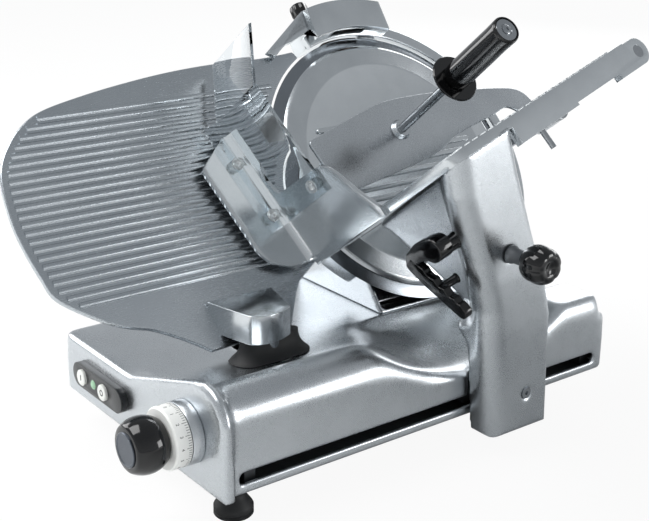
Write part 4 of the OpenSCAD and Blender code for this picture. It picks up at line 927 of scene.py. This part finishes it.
class SLICER_OT_table(SlicerPiece, bpy.types.Operator):
    """Makes the sliding table with its ribs, skirt and lugs"""

    bl_idname = "slicer.table"
    bl_label = "Table"

    def make(self, sizes):
        tray = copied("table", "slide_table")
        soften(tray, sizes.edge_round * MM, 3, 30)
        dressed(tray, "carriage", "polished_aluminium", "polished", "table")


class SLICER_OT_fence(SlicerPiece, bpy.types.Operator):
    """Makes the bent fence with its tall leg beside the blade"""

    bl_idname = "slicer.fence"
    bl_label = "Fence"

    def make(self, sizes):
        wall = ((-10, 150), (0, 150), (28.7, 134.4), (52.5, 124.4), (64, 117), (70, 108), (73, 70), (75, 30),
                (80, 25.5), (158, 13))
        flange = ((-10, 0), (-4.7, 0), (4, 32), (19, 51), (35, 57), (138, 57), (143, 48), (156, 18), (158, 14))
        bend = 14
        heights = (-10, -8, -5, -2, 0, 4, 9, 14, 19, 24, 29, 35, 41, 47, 53, 58, 62, 66, 68.5, 70, 71, 72, 73,
                   74, 75, 77, 80, 86, 94, 104, 114, 124, 132, 138, 141, 143, 148, 152, 156, 158)
        rows = []
        for h in heights:
            out, back = between(wall, h), max(between(flange, h), 0)
            row = []
            for i in range(13):
                s = out + (BLADE_GAP + bend - out) * i / 12
                row.append((-TABLE_NEAR, h - TABLE_LOW, max(s, BLADE_GAP + 2)))
            share = min(back / bend, 1)
            for i in range(1, 9):
                a = math.pi / 2 * i / 8 * share
                row.append((-TABLE_NEAR - bend * (1 - math.cos(a)), h - TABLE_LOW,
                            BLADE_GAP + bend * (1 - math.sin(a))))
            for i in range(1, 7):
                row.append((-TABLE_NEAR - bend - (back - bend) * i / 6, h - TABLE_LOW, BLADE_GAP)
                           if back > bend else row[-1])
            rows.append(row)
        columns = len(rows[0])
        sheet = fresh("fence_sheet", bpy.ops.mesh.primitive_grid_add, x_subdivisions=columns - 1,
                      y_subdivisions=len(rows) - 1, size=1)
        for index, corner in enumerate(sheet.data.vertices):
            corner.co = Vector(rows[index // columns][index % columns])
        tidy_mesh(sheet, 0.05)
        modify(sheet, "SOLIDIFY", thickness=SHEET, offset=1.0, use_even_offset=False)
        tidy_mesh(sheet, 0.01)
        soften(sheet, 0.9, 2, 60)
        dressed(placed(sheet, TABLE_FRAME), "carriage", "polished_aluminium", "polished", "fence", angle=35)


class SLICER_OT_guard(SlicerPiece, bpy.types.Operator):
    """Makes the clear hand guard and its nylon screws"""

    bl_idname = "slicer.guard"
    bl_label = "Hand guard"

    def make(self, sizes):
        guard = copied("hand_guard", "clear_guard")
        soften(guard, 1.3 * MM, 3, 20)
        dressed(guard, "carriage", "clear_plastic", "clear", "hand_guard")
        profile = [(0, -8), (3, -8), (3, 0), (7, 0), (7, 1.4), (6.2, 3), (4, 3.9), (1.6, 4), (1.4, 2.6), (0, 2.6)]
        heads = []
        for place, turn in (((-204, 60 - TABLE_LOW, 16), 0), ((-204, 126 - TABLE_LOW, 16), 0),
                            ((-195, 58 - TABLE_LOW, 86), -math.pi / 2)):
            heads.append(moved(turned("head", profile, steps=48), place, (0, turn, 0)))
        dressed(placed(joined(heads, "guard_bolts"), TABLE_FRAME), "carriage", "clear_screw",
                "clear_screw", "guard_screws")


class SLICER_OT_pusher(SlicerPiece, bpy.types.Operator):
    """Makes the pusher's plate, shield, grip and end cap"""

    bl_idname = "slicer.pusher"
    bl_label = "Pusher"

    def make(self, sizes):
        upper = smooth_line([(-176, 60), (-89, 59), (-52, 55), (-1, 41), (50, 23), (99, 4), (122, -9), (131, -27),
                             (131, -53)])
        lower = smooth_line([(106, -48), (105, -34), (91, -19), (64, -18), (1, -15), (-42, -20), (-120, -12),
                             (-180, -5)])
        plate = pushed("plate", upper + lower + [(-180, 55), (-179, 58)], 4, PUSHER_AT)
        soften(plate, 0.9, 3)
        hub = turned("hub", [(10.6, 100), (13.2, 100), (14, 100.8), (14, 125.2), (13.2, 126), (10.6, 126)],
                     closed=True)
        pieces = [plate, moved(hub, (118, -53, 0))]
        for i in range(5):
            spike = turned("spike", [(0, 92), (0.5, 92), (2.4, 99.4), (4, 100.4), (0, 101)], steps=24)
            pieces.append(moved(spike, (-112 + 25 * i, -4, 0)))
        boss = turned("boss", [(0, 103), (11.6, 103), (11.4, 104.4), (10, 106), (9.6, 108.4), (9, 109), (0, 109)],
                      steps=64)
        pieces.append(moved(boss, (*SHAFT_FOOT, 0)))
        plate = placed(joined(pieces, "pusher_sheet"), TABLE_FRAME)
        dressed(plate, "pusher", "polished_aluminium", "cast", "pusher_plate")
        sleeve = copied("pusher_sleeve", "slide_sleeve")
        soften(sleeve, 0.6 * MM, 2)
        dressed(sleeve, "pusher_slide_body", "ground_steel", "steel", "pusher_sleeve")
        foot = BLADE_CENTRE + TABLE_ALONG * SHAFT_FOOT[0] + TABLE_UP * SHAFT_FOOT[1] + FACE_OUT * (PUSHER_AT + 9)
        lean = math.radians(3)
        axis = FACE_OUT * math.cos(lean) + TABLE_UP * math.sin(lean)
        up = TABLE_UP * math.cos(lean) - FACE_OUT * math.sin(lean)
        here = frame_of(TABLE_ALONG, up, axis, foot)
        shield = turned("hand_shield", [(5.05, 98), (8, 98), (12, 98.8), (24.4, 100), (25.5, 101.2), (25.5, 102.2),
                                        (24.6, 103), (5.05, 103)], steps=96, closed=True)
        dressed(placed(shield, here), "pusher", "black_plastic", "black", "pusher_shield")
        grip = turned("hand_grip", [(5.05, 103), (12.6, 103), (13.8, 104.6), (14.2, 108), (14.5, 120), (14.3, 150),
                                    (14.1, 176), (14.4, 188), (14.3, 191.4), (13.6, 192.6), (12.4, 192.6),
                                    (12.2, 188), (5.05, 187)], steps=96, closed=True)
        dressed(placed(grip, here), "pusher", "black_plastic", "black", "pusher_grip")
        cap = turned("grip_cap", [(0, 188.2), (12, 188.2), (12, 191.4), (11.4, 192), (6.2, 192.2), (5.8, 191.8),
                                  (5.2, 191.8), (5, 192.8), (4.2, 193.4), (1.6, 193.4), (1.4, 192.4), (0, 192.4)],
                     steps=96)
        dressed(placed(cap, here), "pusher", "ground_steel", "steel", "pusher_cap")


def in_view(tree):
    """1 for rays from the camera, also through clear plastic, and 0 for those that light the object."""
    path = add_node(tree, "ShaderNodeLightPath")
    seen = add_node(tree, "ShaderNodeMath", {0: path.outputs["Is Camera Ray"],
                                             1: path.outputs["Is Transmission Ray"]}, operation="MAXIMUM")
    return seen.outputs["Value"]


class SLICER_OT_stage(SlicerPiece, bpy.types.Operator):
    """Makes the floor with a painted shadow beside the object, the soft lights, the pale surroundings and the camera
    """

    bl_idname = "slicer.stage"
    bl_label = "Stage"

    def make(self, sizes):
        scene = bpy.context.scene
        floor = fresh("studio_floor", bpy.ops.mesh.primitive_plane_add, size=24, location=(0, 0, -0.0005))
        paper = bpy.data.materials.new("white_studio_paper")
        paper.use_nodes = True
        tree = paper.node_tree
        surface = tree.nodes["Principled BSDF"]
        surface.inputs["Roughness"].default_value = 0.9
        # Painted shadow: the floor is painted dark grey round a point 0.47 m right of and 0.22 m behind the origin,
        # fading to white 0.625 m out. It stands in for the shade the object throws on the floor, and shows in
        # reflections and faintly to the camera.
        spot = add_node(tree, "ShaderNodeTexCoord")
        beside = add_node(tree, "ShaderNodeMapping", {"Vector": spot.outputs["Object"],
                                                      "Location": (-0.75, -0.35, 0), "Scale": (1.6, 1.6, 1)})
        near = add_node(tree, "ShaderNodeTexGradient", {"Vector": beside.outputs["Vector"]},
                        gradient_type="SPHERICAL")
        painted_floor_shadow = add_node(tree, "ShaderNodeMix", {0: near.outputs["Fac"], 6: linear("#f4f4f3"), 7: linear("#6f7274")},
                        data_type="RGBA")
        tree.links.new(painted_floor_shadow.outputs[2], surface.inputs["Base Color"])
        share = add_node(tree, "ShaderNodeMath", {0: in_view(tree), 1: 0.93}, operation="MULTIPLY")
        white = add_node(tree, "ShaderNodeEmission", {"Color": (1, 1, 1, 1), "Strength": 1.0})
        shown = add_node(tree, "ShaderNodeMixShader", {"Fac": share.outputs["Value"], 1: surface.outputs["BSDF"],
                                                       2: white.outputs["Emission"]})
        tree.links.new(shown.outputs["Shader"], tree.nodes["Material Output"].inputs["Surface"])
        floor.data.materials.append(paper)
        world = bpy.data.worlds.new("pale_surroundings")
        scene.world = world
        world.use_nodes = True
        tree = world.node_tree
        tree.nodes.clear()
        place = add_node(tree, "ShaderNodeTexCoord")
        split = add_node(tree, "ShaderNodeSeparateXYZ", {"Vector": place.outputs["Generated"]})
        sky = add_node(tree, "ShaderNodeValToRGB", {"Fac": split.outputs["Z"]})
        for stop, position, colour in zip(sky.color_ramp.elements, (0, 0.75), ("#dfe2e5", "#b3b7bb")):
            stop.position, stop.color = position, linear(colour)
        soft = add_node(tree, "ShaderNodeBackground", {"Color": sky.outputs["Color"], "Strength": 0.95})
        white = add_node(tree, "ShaderNodeBackground", {"Color": (1, 1, 1, 1), "Strength": 1.0})
        mixed = add_node(tree, "ShaderNodeMixShader", {"Fac": in_view(tree), 1: soft.outputs["Background"],
                                                       2: white.outputs["Background"]})
        add_node(tree, "ShaderNodeOutputWorld", {"Surface": mixed.outputs["Shader"]})
        target = Vector((0, 0, 0.2))
        for name, where, size, power in (("top_softbox", (-0.5, -1.1, 2.1), 1.5, 40),
                                         ("left_softbox", (-1.9, -1.0, 1.0), 1.2, 20),
                                         ("right_softbox", (2.0, 1.5, 0.55), 0.9, 18),
                                         ("rear_softbox", (-1.2, 2.2, 1.2), 1.6, 26)):
            lamp = fresh(name, bpy.ops.object.light_add, type="AREA", location=where)
            lamp.data.shape = "SQUARE"
            lamp.data.size = size
            lamp.data.energy = power
            lamp.rotation_euler = (target - Vector(where)).to_track_quat("-Z", "Y").to_euler()
        yaw, pitch, roll = math.radians(52.7), math.radians(19.3), math.radians(-0.58)
        forward = Vector((-math.sin(yaw) * math.cos(pitch), math.cos(yaw) * math.cos(pitch), -math.sin(pitch)))
        right = Vector((math.cos(yaw), math.sin(yaw), 0))
        down = forward.cross(right)
        across = right * math.cos(roll) + down * math.sin(roll)
        below = down * math.cos(roll) - right * math.sin(roll)
        camera = bpy.data.objects.new("camera", bpy.data.cameras.new("camera"))
        scene.collection.objects.link(camera)
        camera.matrix_world = Matrix.Translation((0.989, -0.782, 0.6141)) @ Matrix(
            (across, -below, -forward)).transposed().to_4x4()
        camera.data.sensor_width = SENSOR_MM
        camera.data.lens = SENSOR_MM * FOCAL_PX / PHOTO_WIDTH_PX
        camera.data.clip_end = 50
        scene.camera = camera
        scene.view_settings.view_transform = "Standard"


PIECES = (SLICER_OT_finishes, SLICER_OT_base, SLICER_OT_feet, SLICER_OT_controls, SLICER_OT_dial, SLICER_OT_gauge,
          SLICER_OT_support, SLICER_OT_head, SLICER_OT_blade, SLICER_OT_sharpener, SLICER_OT_column,
          SLICER_OT_lock, SLICER_OT_handle, SLICER_OT_table, SLICER_OT_fence, SLICER_OT_guard,
          SLICER_OT_pusher, SLICER_OT_stage)


class SLICER_PT_panel(bpy.types.Panel):
    """Lists the sizes and the pieces in the sidebar"""

    bl_idname = "SLICER_PT_panel"
    bl_label = "Slicer"
    bl_space_type = "VIEW_3D"
    bl_region_type = "UI"
    bl_category = "Slicer"

    def draw(self, context):
        for name in SlicerSizes.__annotations__:
            self.layout.prop(context.scene.slicer_sizes, name)
        for piece in PIECES:
            self.layout.operator(piece.bl_idname)


def register():
    for made in (SlicerSizes, *PIECES, SLICER_PT_panel):
        bpy.utils.register_class(made)
    bpy.types.Scene.slicer_sizes = bpy.props.PointerProperty(type=SlicerSizes)


def unregister():
    del bpy.types.Scene.slicer_sizes
    for made in reversed((SlicerSizes, *PIECES, SLICER_PT_panel)):
        bpy.utils.unregister_class(made)


def main():
    register()
    bpy.ops.object.select_all(action="DESELECT")
    for piece in PIECES:
        group, name = piece.bl_idname.split(".")
        getattr(getattr(bpy.ops, group), name)()


if __name__ == "__main__":
    main()
